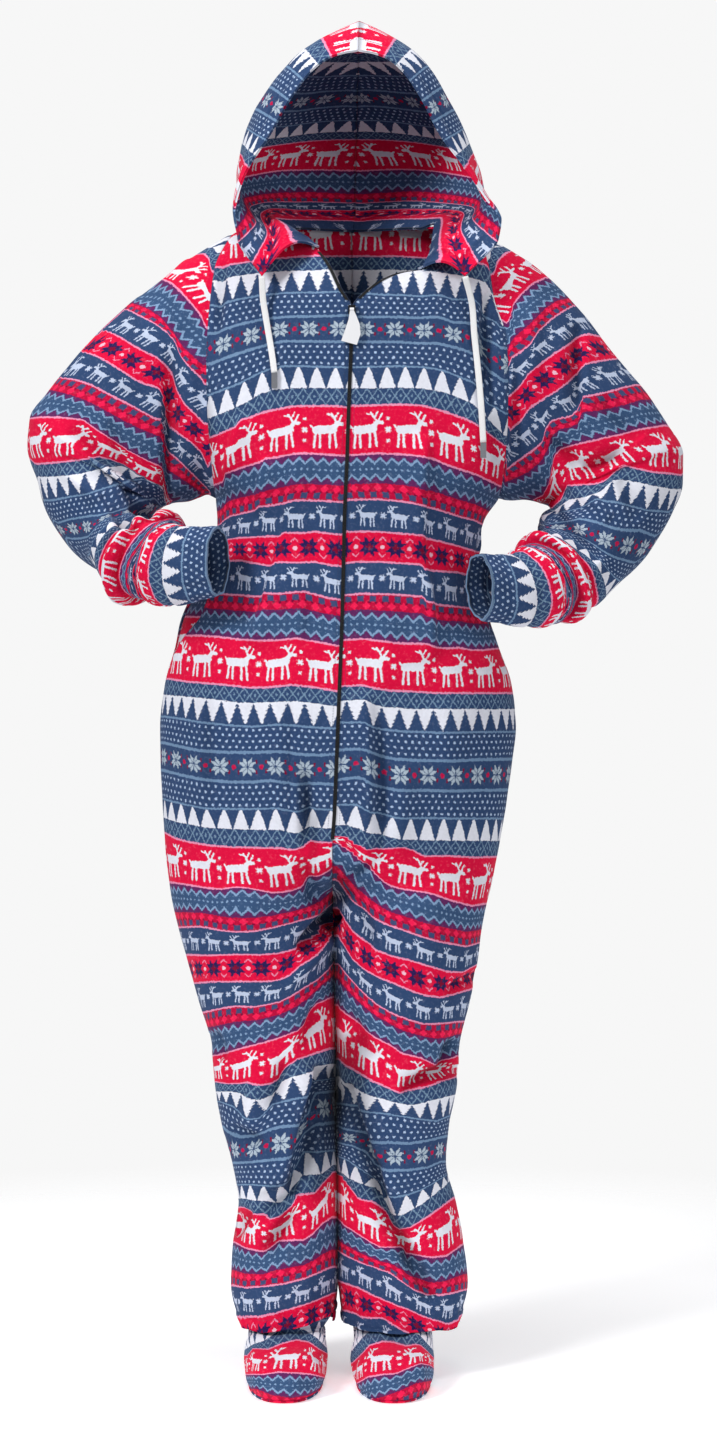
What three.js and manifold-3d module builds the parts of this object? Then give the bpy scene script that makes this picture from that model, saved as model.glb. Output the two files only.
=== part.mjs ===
// Hooded footed onesie pajama of printed fleece, cut and seamed as a maker would.
// Millimetres, +Z up, the front faces -Y, origin between the shoulders at the neck.
import * as THREE from 'three';
import Module from 'manifold-3d';

const wasm = await Module();
wasm.setup();
const { Manifold, Mesh } = wasm;

// Cloth and seams
const CLOTH = 2.6;            // thickness of the fleece wall
const SEAM = 0.3;             // gap between two sewn pieces
const SIDES = [-1, 1];        // -1 is the left of the picture, +1 the right

// Grid sizes
const UPPER_ROWS = 14;        // rows from underarm to shoulder seam
const LOWER_ROWS = 29;        // rows from underarm to leg hem
const PANEL_COLS = 8;         // columns of one body panel
const SLEEVE_RINGS = 24;
const HOOD_LEVELS = [0, 0.035, 0.07, 0.1, 0.15, 0.2, 0.25, 0.3, 0.38, 0.46, 0.54, 0.63, 0.72, 0.81, 0.88, 0.94, 0.975, 1];
const HOOD_ROWS = HOOD_LEVELS.length - 1;
const HOOD_COLS = 10;

const table = (names, rows) => rows.map((r) => Object.fromEntries(names.map((n, i) => [n, r[i]])));

// Body and legs below the underarm: level, centre line, side edges, depths and leg depth
const BODY = table(
  ['z', 'mid', 'left', 'right', 'front', 'back', 'leg'], [
    [-319, -8, -170, 182, 128, 130, 110],
    [-345, -9, -168, 165, 126, 128, 110],
    [-391, -10, -174, 155, 123, 124, 110],
    [-430, -11, -196, 163, 126, 126, 110],
    [-469, -12, -214, 173, 130, 132, 110],
    [-499, -13, -221, 182, 133, 138, 110],
    [-549, -15, -234, 199, 138, 146, 112],
    [-599, -17, -240, 204, 141, 152, 114],
    [-649, -19, -239, 199, 139, 154, 118],
    [-699, -21, -237, 193, 133, 149, 120],
    [-749, -24, -234, 184, 124, 138, 120],
    [-799, -24, -228, 174, 117, 126, 118],
    [-849, -24, -219, 163, 112, 116, 112],
    [-899, -23, -206, 156, 106, 108, 104],
    [-949, -22, -191, 147, 100, 100, 97],
    [-999, -21, -177, 135, 96, 96, 89],
    [-1049, -21, -172, 131, 92, 92, 87],
    [-1099, -20, -164, 122, 88, 88, 83],
    [-1149, -19, -150, 118, 84, 84, 80],
    [-1199, -19, -143, 130, 82, 82, 79],
    [-1249, -18, -149, 140, 82, 82, 80],
    [-1299, -18, -152, 145, 82, 82, 80],
    [-1350, -17, -142, 136, 80, 80, 78],
  ]);

// How far the two legs have parted at each level of the crotch curve
const CROTCH = table(['z', 'part', 'gap'], [
  [-1350, 1, 7], [-1100, 1, 3], [-900, 1, 1.6], [-800, 1, 0.6],
  [-788, 0.8, 0.3], [-774, 0.45, 0.15], [-758, 0.2, 0.15], [-735, 0.05, 0.15], [-700, 0, 0.15], [-319, 0, 0.15],
]);

// Armhole from the shoulder tip (t 0) to the underarm (t 1)
const ARMHOLE = table(['t', 'left', 'right', 'y', 'z'], [
  [0, -150, 152, 0, 12], [0.08, -161, 163, 24, -8], [0.16, -170, 170, 44, -32],
  [0.28, -175, 176, 66, -75], [0.40, -178, 189, 80, -118], [0.52, -179, 192, 88, -162],
  [0.66, -178, 192, 90, -212], [0.80, -175, 190, 80, -262], [0.92, -172, 186, 46, -303],
  [1, -170, 182, 0, -319],
]);

// Inner edges above the underarm: centre front, zip edge and neckline; centre back and neck
const UPPER = table(
  ['row', 'lx', 'ly', 'lz', 'rx', 'ry', 'rz', 'bl', 'br', 'by', 'bz', 'arc'], [
    [0, -8, -128, -319, -8, -128, -319, -8, -8, 130, -319, 90],
    [2, -6, -127, -276, -6, -127, -276, -6, -6, 131, -276, 82],
    [4, -4.5, -125, -230, -4.5, -125, -230, -4.5, -4.5, 131, -230, 74],
    [6, -2.5, -122, -178, -2.5, -122, -178, -2.5, -2.5, 128, -180, 67],
    [8, -0.5, -118, -122, -0.5, -118, -122, -0.5, -0.5, 120, -118, 62],
    [9, 0, -116, -91, 0, -116, -91, 0, 0, 113, -84, 60],
    [10, -13, -110, -64, 25, -110, -61, 0, 0, 106, -50, 58],
    [11, -25, -99, -38, 55, -98, -46, 0, 0, 97, -8, 57],
    [12, -42, -80, -14, 82, -84, -41, 0, 0, 88, 28, 56],
    [13, -70, -44, 8, 99, -44, -14, -55, 62, 60, 28, 54],
    [14, -95, 0, 22, 104, 0, 22, -95, 104, 0, 22, 52],
  ]);
const ZIP_TOP_ROW = 9;
const HOOD_ROW = 12;

// Sleeve rings from armhole to cuff: outer edge, inner edge, place and depth front to back
const SLEEVE = {
  '-1': table(['k', 'ox', 'oz', 'ix', 'iz', 'y', 'depth'], [
    [0, -150, 12, -170, -319, 0, 90], [1, -198, -16, -182, -313, 3, 88],
    [2, -234, -43, -192, -316, 7, 84], [3, -286, -82, -206, -321, 12, 80],
    [4, -336, -131, -221, -323, 18, 78], [5, -382, -184, -233, -326, 24, 78],
    [6, -404, -217, -239, -329, 26, 78], [7, -407, -254, -243, -332, 24, 76],
    [8, -395, -291, -245, -336, 18, 74], [9, -386, -322, -245, -340, 10, 72],
    [10, -358, -368, -246, -344, -6, 68], [11, -322, -397, -250, -347, -26, 62],
    [12, -302, -421, -247, -347, -44, 56], [13, -290, -444, -220, -339, -62, 52],
    [14, -266, -437, -211, -353, -78, 40], [15, -240, -448, -212, -353, -92, 44],
    [16, -214, -451, -208, -354, -108, 34], [17, -162, -439, -162, -357, -132, 31],
  ]),
  1: table(['k', 'ox', 'oz', 'ix', 'iz', 'y', 'depth'], [
    [0, 152, 12, 182, -319, 0, 90], [1, 200, -10, 190, -320, 3, 88],
    [2, 240, -39, 200, -320, 7, 84], [3, 284, -84, 214, -319, 12, 80],
    [4, 333, -144, 229, -321, 18, 78], [5, 375, -192, 241, -325, 24, 78],
    [6, 396, -224, 247, -328, 26, 78], [7, 415, -262, 248, -332, 24, 76],
    [8, 414, -296, 242, -337, 18, 74], [9, 403, -328, 236, -343, 10, 72],
    [10, 372, -382, 233, -350, -6, 68], [11, 337, -418, 237, -359, -26, 62],
    [12, 303, -451, 236, -367, -42, 56], [13, 276, -468, 216, -369, -58, 52],
    [14, 256, -465, 206, -383, -74, 42], [15, 240, -474, 200, -384, -88, 46],
    [16, 212, -477, 191, -388, -106, 36], [17, 157, -467, 152, -387, -134, 31],
  ]),
};

// Hood rows from just above the neck seam to the crown seam: rim, cheek, side, rear, centre back
const HOOD = table(
  ['b', 'rx', 'ry', 'rz', 'cx', 'cy', 'cz', 'sx', 'sy', 'sz', 'px', 'py', 'pz', 'by', 'bz'], [
    [0.10, 137, -117, -51, 122, -84, -6, 126, -8, 32, 72, 74, 42, 98, 44],
    [0.20, 176, -104, -6, 150, -66, 18, 146, 0, 46, 86, 84, 60, 112, 62],
    [0.30, 179, -96, 19, 160, -56, 40, 152, 8, 66, 96, 92, 82, 122, 86],
    [0.42, 162, -88, 44, 154, -42, 68, 149, 16, 90, 98, 98, 108, 129, 114],
    [0.54, 135, -83, 84, 143, -40, 100, 140, 18, 116, 94, 98, 134, 129, 144],
    [0.66, 104, -83, 124, 125, -42, 140, 126, 14, 152, 84, 92, 164, 122, 174],
    [0.78, 80, -88, 167, 101, -46, 186, 101, 8, 194, 66, 78, 200, 106, 206],
    [0.88, 56, -92, 200, 74, -50, 221, 74, 2, 228, 46, 60, 228, 84, 230],
    [0.95, 33, -95, 217, 46, -54, 242, 46, -2, 251, 29, 42, 247, 62, 247],
    [1, 0, -97, 226, 0, -58, 262, 0, -6, 276, 0, 26, 272, 46, 262],
  ]);
const HOOD_SHIFT = table(['z', 'shift', 'left_scale'], [
  [-60, 0, 0.80], [-6, 2, 0.80], [20, 3, 0.82], [44, 4, 0.90], [90, 4, 0.98], [140, 5, 1.02], [280, 9, 1],
]);

// Footed part: rise above the sole, half width, toe and heel reach
const SOLE_Z = -1412;
const FOOT = table(['rise', 'half', 'toe', 'heel'], [
  [3.2, 46, -190, 62], [14, 50, -199, 68], [29, 50, -194, 69], [42, 49, -176, 70],
  [52, 48, -138, 70], [57, 47, -92, 68], [59.5, 45, -64, 64],
]);
const FOOT_X = { '-1': -82, 1: 51 };
const SHAFT_TOP = -1306;

// Slant pocket opening: how far the front panel's edge stands back from the side seam
const POCKET = table(['z', 'left', 'right'], [
  [-560, 0, 0], [-532, 0.03, 0.02], [-497, 0.15, 0.06], [-461, 0.32, 0.14],
  [-426, 0.30, 0.12], [-390, 0.12, 0.05], [-356, 0, 0], [-319, 0, 0],
]);

// Monotone cubic interpolation of one column, keyed by another
function at(rows, key, col, x) {
  const up = rows[rows.length - 1][key] > rows[0][key];
  const r = up ? rows : [...rows].reverse();
  const n = r.length;
  if (x <= r[0][key]) return r[0][col];
  if (x >= r[n - 1][key]) return r[n - 1][col];
  let i = 0;
  while (x > r[i + 1][key]) i++;
  const slope = (j) => (r[j + 1][col] - r[j][col]) / (r[j + 1][key] - r[j][key]);
  const tang = (j) => {
    if (j === 0) return slope(0);
    if (j === n - 1) return slope(n - 2);
    const a = slope(j - 1), b = slope(j);
    return a * b <= 0 ? 0 : (2 * a * b) / (a + b);
  };
  const h = r[i + 1][key] - r[i][key];
  const t = (x - r[i][key]) / h;
  const t2 = t * t, t3 = t2 * t;
  return (2 * t3 - 3 * t2 + 1) * r[i][col] + (t3 - 2 * t2 + t) * h * tang(i)
    + (3 * t2 - 2 * t3) * r[i + 1][col] + (t3 - t2) * h * tang(i + 1);
}

const V = (x, y, z) => new THREE.Vector3(x, y, z);
const mix = (a, b, t) => a + (b - a) * t;
const sideCol = (side) => (side < 0 ? 'left' : 'right');

// Below the underarm: s runs 0 centre front, 0.5 side seam, 1 centre back
function lowerPoint(side, z, s) {
  const mid = at(BODY, 'z', 'mid', z);
  const half = Math.abs(at(BODY, 'z', sideCol(side), z) - mid);
  const part = at(CROTCH, 'z', 'part', z);
  const gap = at(CROTCH, 'z', 'gap', z);
  const depth = at(BODY, 'z', Math.cos(Math.PI * s) > 0 ? 'front' : 'back', z);
  const tx = gap + (half - gap) * Math.sin(Math.PI * s);
  const ty = -depth * Math.cos(Math.PI * s);
  const a = (half - gap) / 2;
  const lx = gap + a - a * Math.cos(2 * Math.PI * s);
  const ly = -at(BODY, 'z', 'leg', z) * Math.sin(2 * Math.PI * s);
  return V(mid + side * mix(tx, lx, part), mix(ty, ly, part), z);
}

function armholePoint(side, t, face) {
  return V(at(ARMHOLE, 't', sideCol(side), t), face * at(ARMHOLE, 't', 'y', t), at(ARMHOLE, 't', 'z', t));
}

// Inner edge of a body panel above the underarm; face -1 front, +1 back
function innerPoint(side, row, face) {
  const f = (c) => at(UPPER, 'row', c, row);
  if (face > 0) return V(f(side < 0 ? 'bl' : 'br') + side * 0.15, f('by'), f('bz'));
  return side < 0 ? V(f('lx') - 0.15, f('ly'), f('lz')) : V(f('rx') + 0.15, f('ry'), f('rz'));
}

// Above the underarm: s 0 inner edge, 1 armhole edge
function upperPoint(side, row, s, face) {
  const I = innerPoint(side, row, face);
  const O = armholePoint(side, 1 - row / UPPER_ROWS, face);
  const arc = (at(UPPER, 'row', 'arc', row) * Math.PI) / 180;
  return V(
    mix(I.x, O.x, Math.sin(s * arc) / Math.sin(arc)),
    mix(I.y, O.y, (1 - Math.cos(s * arc)) / (1 - Math.cos(arc))),
    mix(I.z, O.z, s));
}

const HEM_Z = -1350;
const UNDERARM_Z = -319;
// One body panel in rows: r 0 hem, LOWER_ROWS underarm, LOWER_ROWS + UPPER_ROWS shoulder
function levelOf(r) {
  return mix(HEM_Z, UNDERARM_Z, r / LOWER_ROWS);
}
function panelPoint(side, face, r, s) {
  if (r <= LOWER_ROWS) {
    const z = levelOf(r);
    return lowerPoint(side, z, face < 0 ? s / 2 : 1 - s / 2);
  }
  return upperPoint(side, r - LOWER_ROWS, s, face);
}
function panelNormal(side, face, r, s) {
  const e = 0.01;
  const lower = r <= LOWER_ROWS;
  const s0 = lower ? s - e : Math.max(0, s - e);
  const s1 = lower ? s + e : Math.min(1, s + e);
  const r0 = Math.max(0, r - e), r1 = Math.min(LOWER_ROWS + UPPER_ROWS, r + e);
  const ds = panelPoint(side, face, r, s1).sub(panelPoint(side, face, r, s0));
  const dr = panelPoint(side, face, r1, s).sub(panelPoint(side, face, r0, s));
  const n = ds.cross(dr).multiplyScalar(side * -face);
  const centre = r > LOWER_ROWS && r - LOWER_ROWS <= (face < 0 ? ZIP_TOP_ROW : HOOD_ROW);
  if (s === 0 && centre) n.x = 0;
  return n.normalize();
}


// A grid of outer points and their outward normals
function grid(rows, cols, point, normal) {
  const P = [], N = [];
  for (let i = 0; i < rows; i++) {
    P.push(Array.from({ length: cols }, (_, j) => point(i, j)));
    N.push(Array.from({ length: cols }, (_, j) => normal(i, j)));
  }
  return { P, N };
}
// Place on a grid between its points, moved out along the normal
function onGrid({ P, N }, r, c, d) {
  const i = Math.max(0, Math.min(P.length - 2, Math.floor(r))), j = Math.max(0, Math.min(P[0].length - 2, Math.floor(c)));
  const u = r - i, v = c - j;
  const bi = (G) => G[i][j].clone().multiplyScalar((1 - u) * (1 - v)).addScaledVector(G[i][j + 1], (1 - u) * v)
    .addScaledVector(G[i + 1][j], u * (1 - v)).addScaledVector(G[i + 1][j + 1], u * v);
  return bi(P).addScaledVector(bi(N), d);
}

// Share of a panel row kept at a level, less than one beside the pocket
function reach(side, z) {
  return z > UNDERARM_Z ? 1 : 1 - at(POCKET, 'z', sideCol(side), z);
}
const rowOf = (z) => (LOWER_ROWS * (z - HEM_Z)) / (UNDERARM_Z - HEM_Z);

// Four body panels, each cut in one from shoulder to leg hem
const BODY_ROWS = LOWER_ROWS + UPPER_ROWS;
const PANELS = {};
for (const side of SIDES) for (const face of [-1, 1]) {
  const share = (r) => (face < 0 && r < LOWER_ROWS ? reach(side, levelOf(r)) : 1);
  PANELS[`${face},${side}`] = grid(BODY_ROWS + 1, PANEL_COLS + 1,
    (r, j) => panelPoint(side, face, r, (share(r) * j) / PANEL_COLS),
    (r, j) => panelNormal(side, face, r, (share(r) * j) / PANEL_COLS));
}
const FRONT = (side) => PANELS[`-1,${side}`];
const BACK = (side) => PANELS[`1,${side}`];

// Sleeves: rings given by their outer and inner edges, started on the armhole itself
function ringForm(side, k, th) {
  const f = (c) => at(SLEEVE[side], 'k', c, k);
  const centre = (q) => {
    const g = (c) => at(SLEEVE[side], 'k', c, Math.max(0, Math.min(17, q)));
    return V((g('ox') + g('ix')) / 2, g('y'), (g('oz') + g('iz')) / 2);
  };
  const O = V(f('ox'), f('y'), f('oz')), I = V(f('ix'), f('y'), f('iz'));
  const C = O.clone().add(I).multiplyScalar(0.5);
  const up = O.clone().sub(C);
  const along = centre(k + 0.4).sub(centre(k - 0.4)).normalize();
  const D = along.clone().cross(up).normalize();
  if (D.y > 0) D.negate();
  return C.clone().addScaledVector(up, Math.cos(th)).addScaledVector(D, f('depth') * Math.sin(th));
}
function sleevePoint(side, k, th) {
  const p = ringForm(side, k, th);
  if (k < 2) {
    const w = ((th % (2 * Math.PI)) + 2 * Math.PI) % (2 * Math.PI);
    const face = w <= Math.PI ? -1 : 1;
    const t = w <= Math.PI ? w / Math.PI : (2 * Math.PI - w) / Math.PI;
    p.addScaledVector(armholePoint(side, t, face).sub(ringForm(side, 0, th)), (1 - k / 2) ** 2);
  }
  return p;
}
const AROUND = 2 * UPPER_ROWS;
const SLEEVES = {};
for (const side of SIDES) {
  const e = 0.02;
  SLEEVES[side] = grid(SLEEVE_RINGS + 1, AROUND,
    (i, j) => sleevePoint(side, (17 * i) / SLEEVE_RINGS, (2 * Math.PI * j) / AROUND),
    (i, j) => {
      const k = (17 * i) / SLEEVE_RINGS, th = (2 * Math.PI * j) / AROUND;
      const da = sleevePoint(side, k, th + e).sub(sleevePoint(side, k, th - e));
      const dk = sleevePoint(side, Math.min(17, k + e), th).sub(sleevePoint(side, Math.max(0, k - e), th));
      return da.cross(dk).normalize().multiplyScalar(side);
    });
}

// Neck seam from the hood's front corner round to the centre back, on the panels' own edges
function neckPoint(side, a) {
  const along = a <= 0.5 ? mix(HOOD_ROW, UPPER_ROWS, a / 0.5) : mix(UPPER_ROWS, HOOD_ROW, (a - 0.5) / 0.5);
  return onGrid(a <= 0.5 ? FRONT(side) : BACK(side), LOWER_ROWS + along, a > 0.97 ? 0 : -0.03, a > 0.97 ? 0 : 0.35);
}
function spline(pts, t) {
  const n = pts.length - 1;
  const u = Math.min(n - 1e-9, Math.max(0, t * n));
  const i = Math.floor(u), f = u - i;
  const p = (q) => pts[Math.max(0, Math.min(n, q))];
  const c = (a, b, cc, d) => 0.5 * (2 * b + (cc - a) * f + (2 * a - 5 * b + 4 * cc - d) * f * f
    + (3 * b - a - 3 * cc + d) * f * f * f);
  const last = i === n - 1 ? V(-pts[n - 1].x, pts[n - 1].y, pts[n - 1].z) : p(i + 2);
  const A = p(i - 1), B = p(i), C = p(i + 1);
  return V(c(A.x, B.x, C.x, last.x), c(A.y, B.y, C.y, last.y), c(A.z, B.z, C.z, last.z));
}
function hoodRow(side, b, a) {
  const g = (c) => at(HOOD, 'b', c, b);
  const place = (x, y, z) => {
    const k = side < 0 ? at(HOOD_SHIFT, 'z', 'left_scale', z) : 1;
    return V(x * k * side, y, z);
  };
  const p = spline([place(g('rx'), g('ry'), g('rz')), place(g('cx'), g('cy'), g('cz')),
    place(g('sx'), g('sy'), g('sz')), place(g('px'), g('py'), g('pz')),
    V(0, g('by'), g('bz'))], a);
  p.x = side * Math.max(0.15, side * p.x);
  return p;
}
// The whole hood leans a little toward the right of the picture
function hoodPoint(side, b, a) {
  const first = HOOD[0].b;
  const p = b >= first ? hoodRow(side, b, a) : neckPoint(side, a).lerp(hoodRow(side, first, a), b / first);
  if (b < first) {
    // the collar rolls up and forward as it leaves the front of the neck seam
    const roll = Math.sin((Math.PI * b) / first) * Math.max(0, 1 - 1.6 * a);
    p.y -= (side < 0 ? 14 : 11) * roll;
    p.z += (side < 0 ? 19 : 12) * roll;
  }
  p.x += at(HOOD_SHIFT, 'z', 'shift', p.z) * Math.min(1, b / first);
  return p;
}
const HOODS = {};
for (const side of SIDES) {
  const e = 0.01;
  HOODS[side] = grid(HOOD_ROWS + 1, HOOD_COLS + 1,
    (i, j) => hoodPoint(side, HOOD_LEVELS[i], j / HOOD_COLS),
    (i, j) => {
      const b = HOOD_LEVELS[i], a = j / HOOD_COLS;
      const da = hoodPoint(side, b, Math.min(1, a + e)).sub(hoodPoint(side, b, Math.max(0, a - e)));
      const db = hoodPoint(side, Math.min(1, b + e), a).sub(hoodPoint(side, Math.max(0, b - e), a));
      const n = da.cross(db).multiplyScalar(side);
      if (i === HOOD_ROWS || j === HOOD_COLS) n.x = 0;
      return n.normalize();
    });
}

// Where panels and sleeves share a point they share its normal, so that their walls meet flush
{
  const shared = new Map();
  const key = (p) => [p.x, p.y, p.z].map((v) => Math.round(v * 20)).join();
  const each = (fn) => [...Object.values(PANELS), ...Object.values(SLEEVES)]
    .forEach(({ P, N }) => P.forEach((row, i) => row.forEach((p, j) => fn(p, N[i][j]))));
  each((p, n) => shared.set(key(p), (shared.get(key(p)) || V(0, 0, 0)).add(n)));
  each((p, n) => n.copy(shared.get(key(p))).normalize());
}

// Closed wall from a grid; wrap joins the last column to the first
function wall({ P, N }, { wrap = false, thick = CLOTH, lift = 0 } = {}) {
  const nr = P.length, nc = P[0].length;
  const pos = [], idx = [];
  for (const d of [lift, lift - thick]) P.forEach((row, i) => row.forEach((p, j) => {
    const q = p.clone().addScaledVector(N[i][j], d);
    pos.push(q.x, q.y, q.z);
  }));
  const id = (l, i, j) => l * nr * nc + i * nc + (wrap ? j % nc : j);
  const quad = (a, b, c, d) => idx.push(a, b, c, a, c, d);
  const cols = wrap ? nc : nc - 1;
  for (let i = 0; i < nr - 1; i++) for (let j = 0; j < cols; j++) {
    quad(id(0, i, j), id(0, i, j + 1), id(0, i + 1, j + 1), id(0, i + 1, j));
    idx.push(id(1, i, j), id(1, i + 1, j + 1), id(1, i, j + 1), id(1, i, j), id(1, i + 1, j), id(1, i + 1, j + 1));
  }
  for (let j = 0; j < cols; j++) {
    quad(id(0, 0, j), id(1, 0, j), id(1, 0, j + 1), id(0, 0, j + 1));
    quad(id(0, nr - 1, j), id(0, nr - 1, j + 1), id(1, nr - 1, j + 1), id(1, nr - 1, j));
  }
  if (!wrap) for (let i = 0; i < nr - 1; i++) {
    quad(id(0, i, 0), id(0, i + 1, 0), id(1, i + 1, 0), id(1, i, 0));
    quad(id(0, i, nc - 1), id(1, i, nc - 1), id(1, i + 1, nc - 1), id(0, i + 1, nc - 1));
  }
  return facing({ pos, idx });
}
function volume({ pos, idx }) {
  let v = 0;
  const p = (i) => V(pos[3 * i], pos[3 * i + 1], pos[3 * i + 2]);
  for (let i = 0; i < idx.length; i += 3) v += p(idx[i]).dot(p(idx[i + 1]).cross(p(idx[i + 2])));
  return v / 6;
}
function facing(m) {
  if (volume(m) < 0) for (let i = 0; i < m.idx.length; i += 3) {
    const t = m.idx[i + 1]; m.idx[i + 1] = m.idx[i + 2]; m.idx[i + 2] = t;
  }
  return m;
}

// Pull the edges of a grid in by half a seam gap
function inset({ P, N }, { first = 0, last = 0, bottom = 0, top = 0 }) {
  const nr = P.length, nc = P[0].length;
  const pull = (a, b, d) => a.clone().addScaledVector(b.clone().sub(a).normalize(), d);
  const Q = P.map((r) => r.map((p) => p.clone()));
  for (let i = 0; i < nr; i++) {
    if (first) Q[i][0] = pull(Q[i][0], P[i][1], first);
    if (last) Q[i][nc - 1] = pull(Q[i][nc - 1], P[i][nc - 2], last);
  }
  for (let j = 0; j < nc; j++) {
    if (bottom) Q[0][j] = pull(Q[0][j], P[1][j], bottom);
    if (top) Q[nr - 1][j] = pull(Q[nr - 1][j], P[nr - 2][j], top);
  }
  return { P: Q, N };
}

const group = new THREE.Group();
group.name = 'onesie_pajama';
const COLOR = { fleece: 0x2f527f, zip: 0x141416, tab: 0xf2f2f2, cord: 0xf4f4f4, metal: 0xb8bcc0, sole: 0x2c4468 };
function add(name, m, color) {
  const g = new THREE.BufferGeometry();
  g.setAttribute('position', new THREE.Float32BufferAttribute(m.pos, 3));
  g.setIndex(m.idx);
  g.computeVertexNormals();
  const mesh = new THREE.Mesh(g, new THREE.MeshStandardMaterial({ color, roughness: 0.9, name: `${name}_look` }));
  mesh.name = name;
  group.add(mesh);
}
const HALF = SEAM / 2 + 0.04;
for (const side of SIDES) {
  add(`front_panel_${sideCol(side)}`, wall(inset(FRONT(side), { first: 0.1, last: HALF, top: HALF })), COLOR.fleece);
  add(`back_panel_${sideCol(side)}`, wall(inset(BACK(side), { first: 0.1, last: HALF, top: HALF })), COLOR.fleece);
  add(`sleeve_${sideCol(side)}`, wall(inset(SLEEVES[side], { bottom: 0.5 }), { wrap: true }), COLOR.fleece);
  add(`hood_panel_${sideCol(side)}`, wall(inset(HOODS[side], { bottom: 0.4 })), COLOR.fleece);
}

// Pocket pieces seen behind the slant openings, just below the panels' inner face
const POCKET_ROWS = [22, 23, 24, 25, 26, 27, 28];
for (const side of SIDES) {
  const C = PANEL_COLS;
  const own = (G, r, c) => [onGrid(G, r, c, 0), onGrid(G, r, c, 1).sub(onGrid(G, r, c, 0))];
  const rows = POCKET_ROWS.map((r) => {
    const k = reach(side, levelOf(r));
    const open = k < 0.99
      ? [panelPoint(side, -1, r, (k + 1) / 2), panelNormal(side, -1, r, (k + 1) / 2)]
      : own(BACK(side), r, C - 0.1);
    return [own(FRONT(side), r, C - 1), own(FRONT(side), r, C), open, own(BACK(side), r, C - 0.3), own(BACK(side), r, C - 1)];
  });
  const G = { P: rows.map((r) => r.map((c) => c[0])), N: rows.map((r) => r.map((c) => c[1])) };
  add(`pocket_piece_${sideCol(side)}`, wall(G, { lift: -CLOTH - 0.5, thick: 2 }), COLOR.fleece);
}

// Feet: a shaft tucked inside the leg hem, then the upper closing down to the sole
const FOOT_POINTS = 4 * PANEL_COLS;
function shaftRing(side, r) {
  return Array.from({ length: FOOT_POINTS }, (_, j) => {
    const c = j / 2;
    return c <= PANEL_COLS ? onGrid(FRONT(side), r, c, -CLOTH - 0.5) : onGrid(BACK(side), r, 2 * PANEL_COLS - c, -CLOTH - 0.5);
  });
}
function footLoop(side, f, th) {
  const mid = (f.toe + f.heel) / 2, len = (f.heel - f.toe) / 2;
  const c = Math.cos(th), s = Math.sin(th), p = 0.86;
  return V(FOOT_X[side] - side * f.half * Math.sign(c) * Math.abs(c) ** p,
    mid - len * Math.sign(s) * Math.abs(s) ** p, SOLE_Z + f.rise);
}
for (const side of SIDES) {
  const n = FOOT_POINTS;
  const P = [1.25, 1, 0.5, 0.12].map((r) => shaftRing(side, r));
  for (const f of [...FOOT].reverse()) {
    P.push(Array.from({ length: n }, (_, j) => footLoop(side, f, (2 * Math.PI * j) / n)));
  }
  const N = P.map((row, i) => row.map((p, j) => {
    const a = P[i][(j + 1) % n].clone().sub(P[i][(j + n - 1) % n]);
    const b = P[Math.min(P.length - 1, i + 1)][j].clone().sub(P[Math.max(0, i - 1)][j]);
    const q = a.cross(b).normalize();
    const c = row.reduce((t, x) => t.add(x), V(0, 0, 0)).multiplyScalar(1 / n);
    return q.dot(p.clone().sub(c)) < 0 ? q.negate() : q;
  }));
  add(`foot_upper_${sideCol(side)}`, wall({ P, N }, { wrap: true, thick: 2.4 }), COLOR.fleece);

  // Sole: a flat pad under the upper's edge
  const pos = [], idx = [];
  const f0 = FOOT[0];
  for (const [d, z] of [[-1.5, 0], [0.5, 1.2], [0.3, 2.9]]) {
    for (let j = 0; j < n; j++) {
      const q = footLoop(side, { half: f0.half + d, toe: f0.toe - d, heel: f0.heel + d, rise: z }, (2 * Math.PI * j) / n);
      pos.push(q.x, q.y, q.z);
    }
  }
  pos.push(FOOT_X[side], -64, SOLE_Z, FOOT_X[side], -64, SOLE_Z + 2.9);
  const low = 3 * n, high = 3 * n + 1;
  for (let j = 0; j < n; j++) {
    const k = (j + 1) % n;
    idx.push(low, k, j, high, 2 * n + j, 2 * n + k);
    for (let l = 0; l < 2; l++) {
      const a = l * n + j, b = l * n + k, c = (l + 1) * n + k, d = (l + 1) * n + j;
      idx.push(a, b, c, a, c, d);
    }
  }
  add(`sole_${sideCol(side)}`, facing({ pos, idx }), COLOR.sole);
}

// Flat strip swept along points, its width direction and outward direction given
function strip(points, widths, outs, halfWidth, low, high) {
  const pos = [], idx = [];
  points.forEach((p, i) => {
    for (const [w, o] of [[-1, low], [1, low], [1, high], [-1, high]]) {
      const q = p.clone().addScaledVector(widths[i], w * halfWidth).addScaledVector(outs[i], o);
      pos.push(q.x, q.y, q.z);
    }
  });
  const n = points.length;
  for (let i = 0; i < n - 1; i++) for (let j = 0; j < 4; j++) {
    const a = 4 * i + j, b = 4 * i + ((j + 1) % 4);
    idx.push(a, b, b + 4, a, b + 4, a + 4);
  }
  idx.push(0, 2, 1, 0, 3, 2);
  const e = 4 * (n - 1);
  idx.push(e, e + 1, e + 2, e, e + 2, e + 3);
  return facing({ pos, idx });
}

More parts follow.
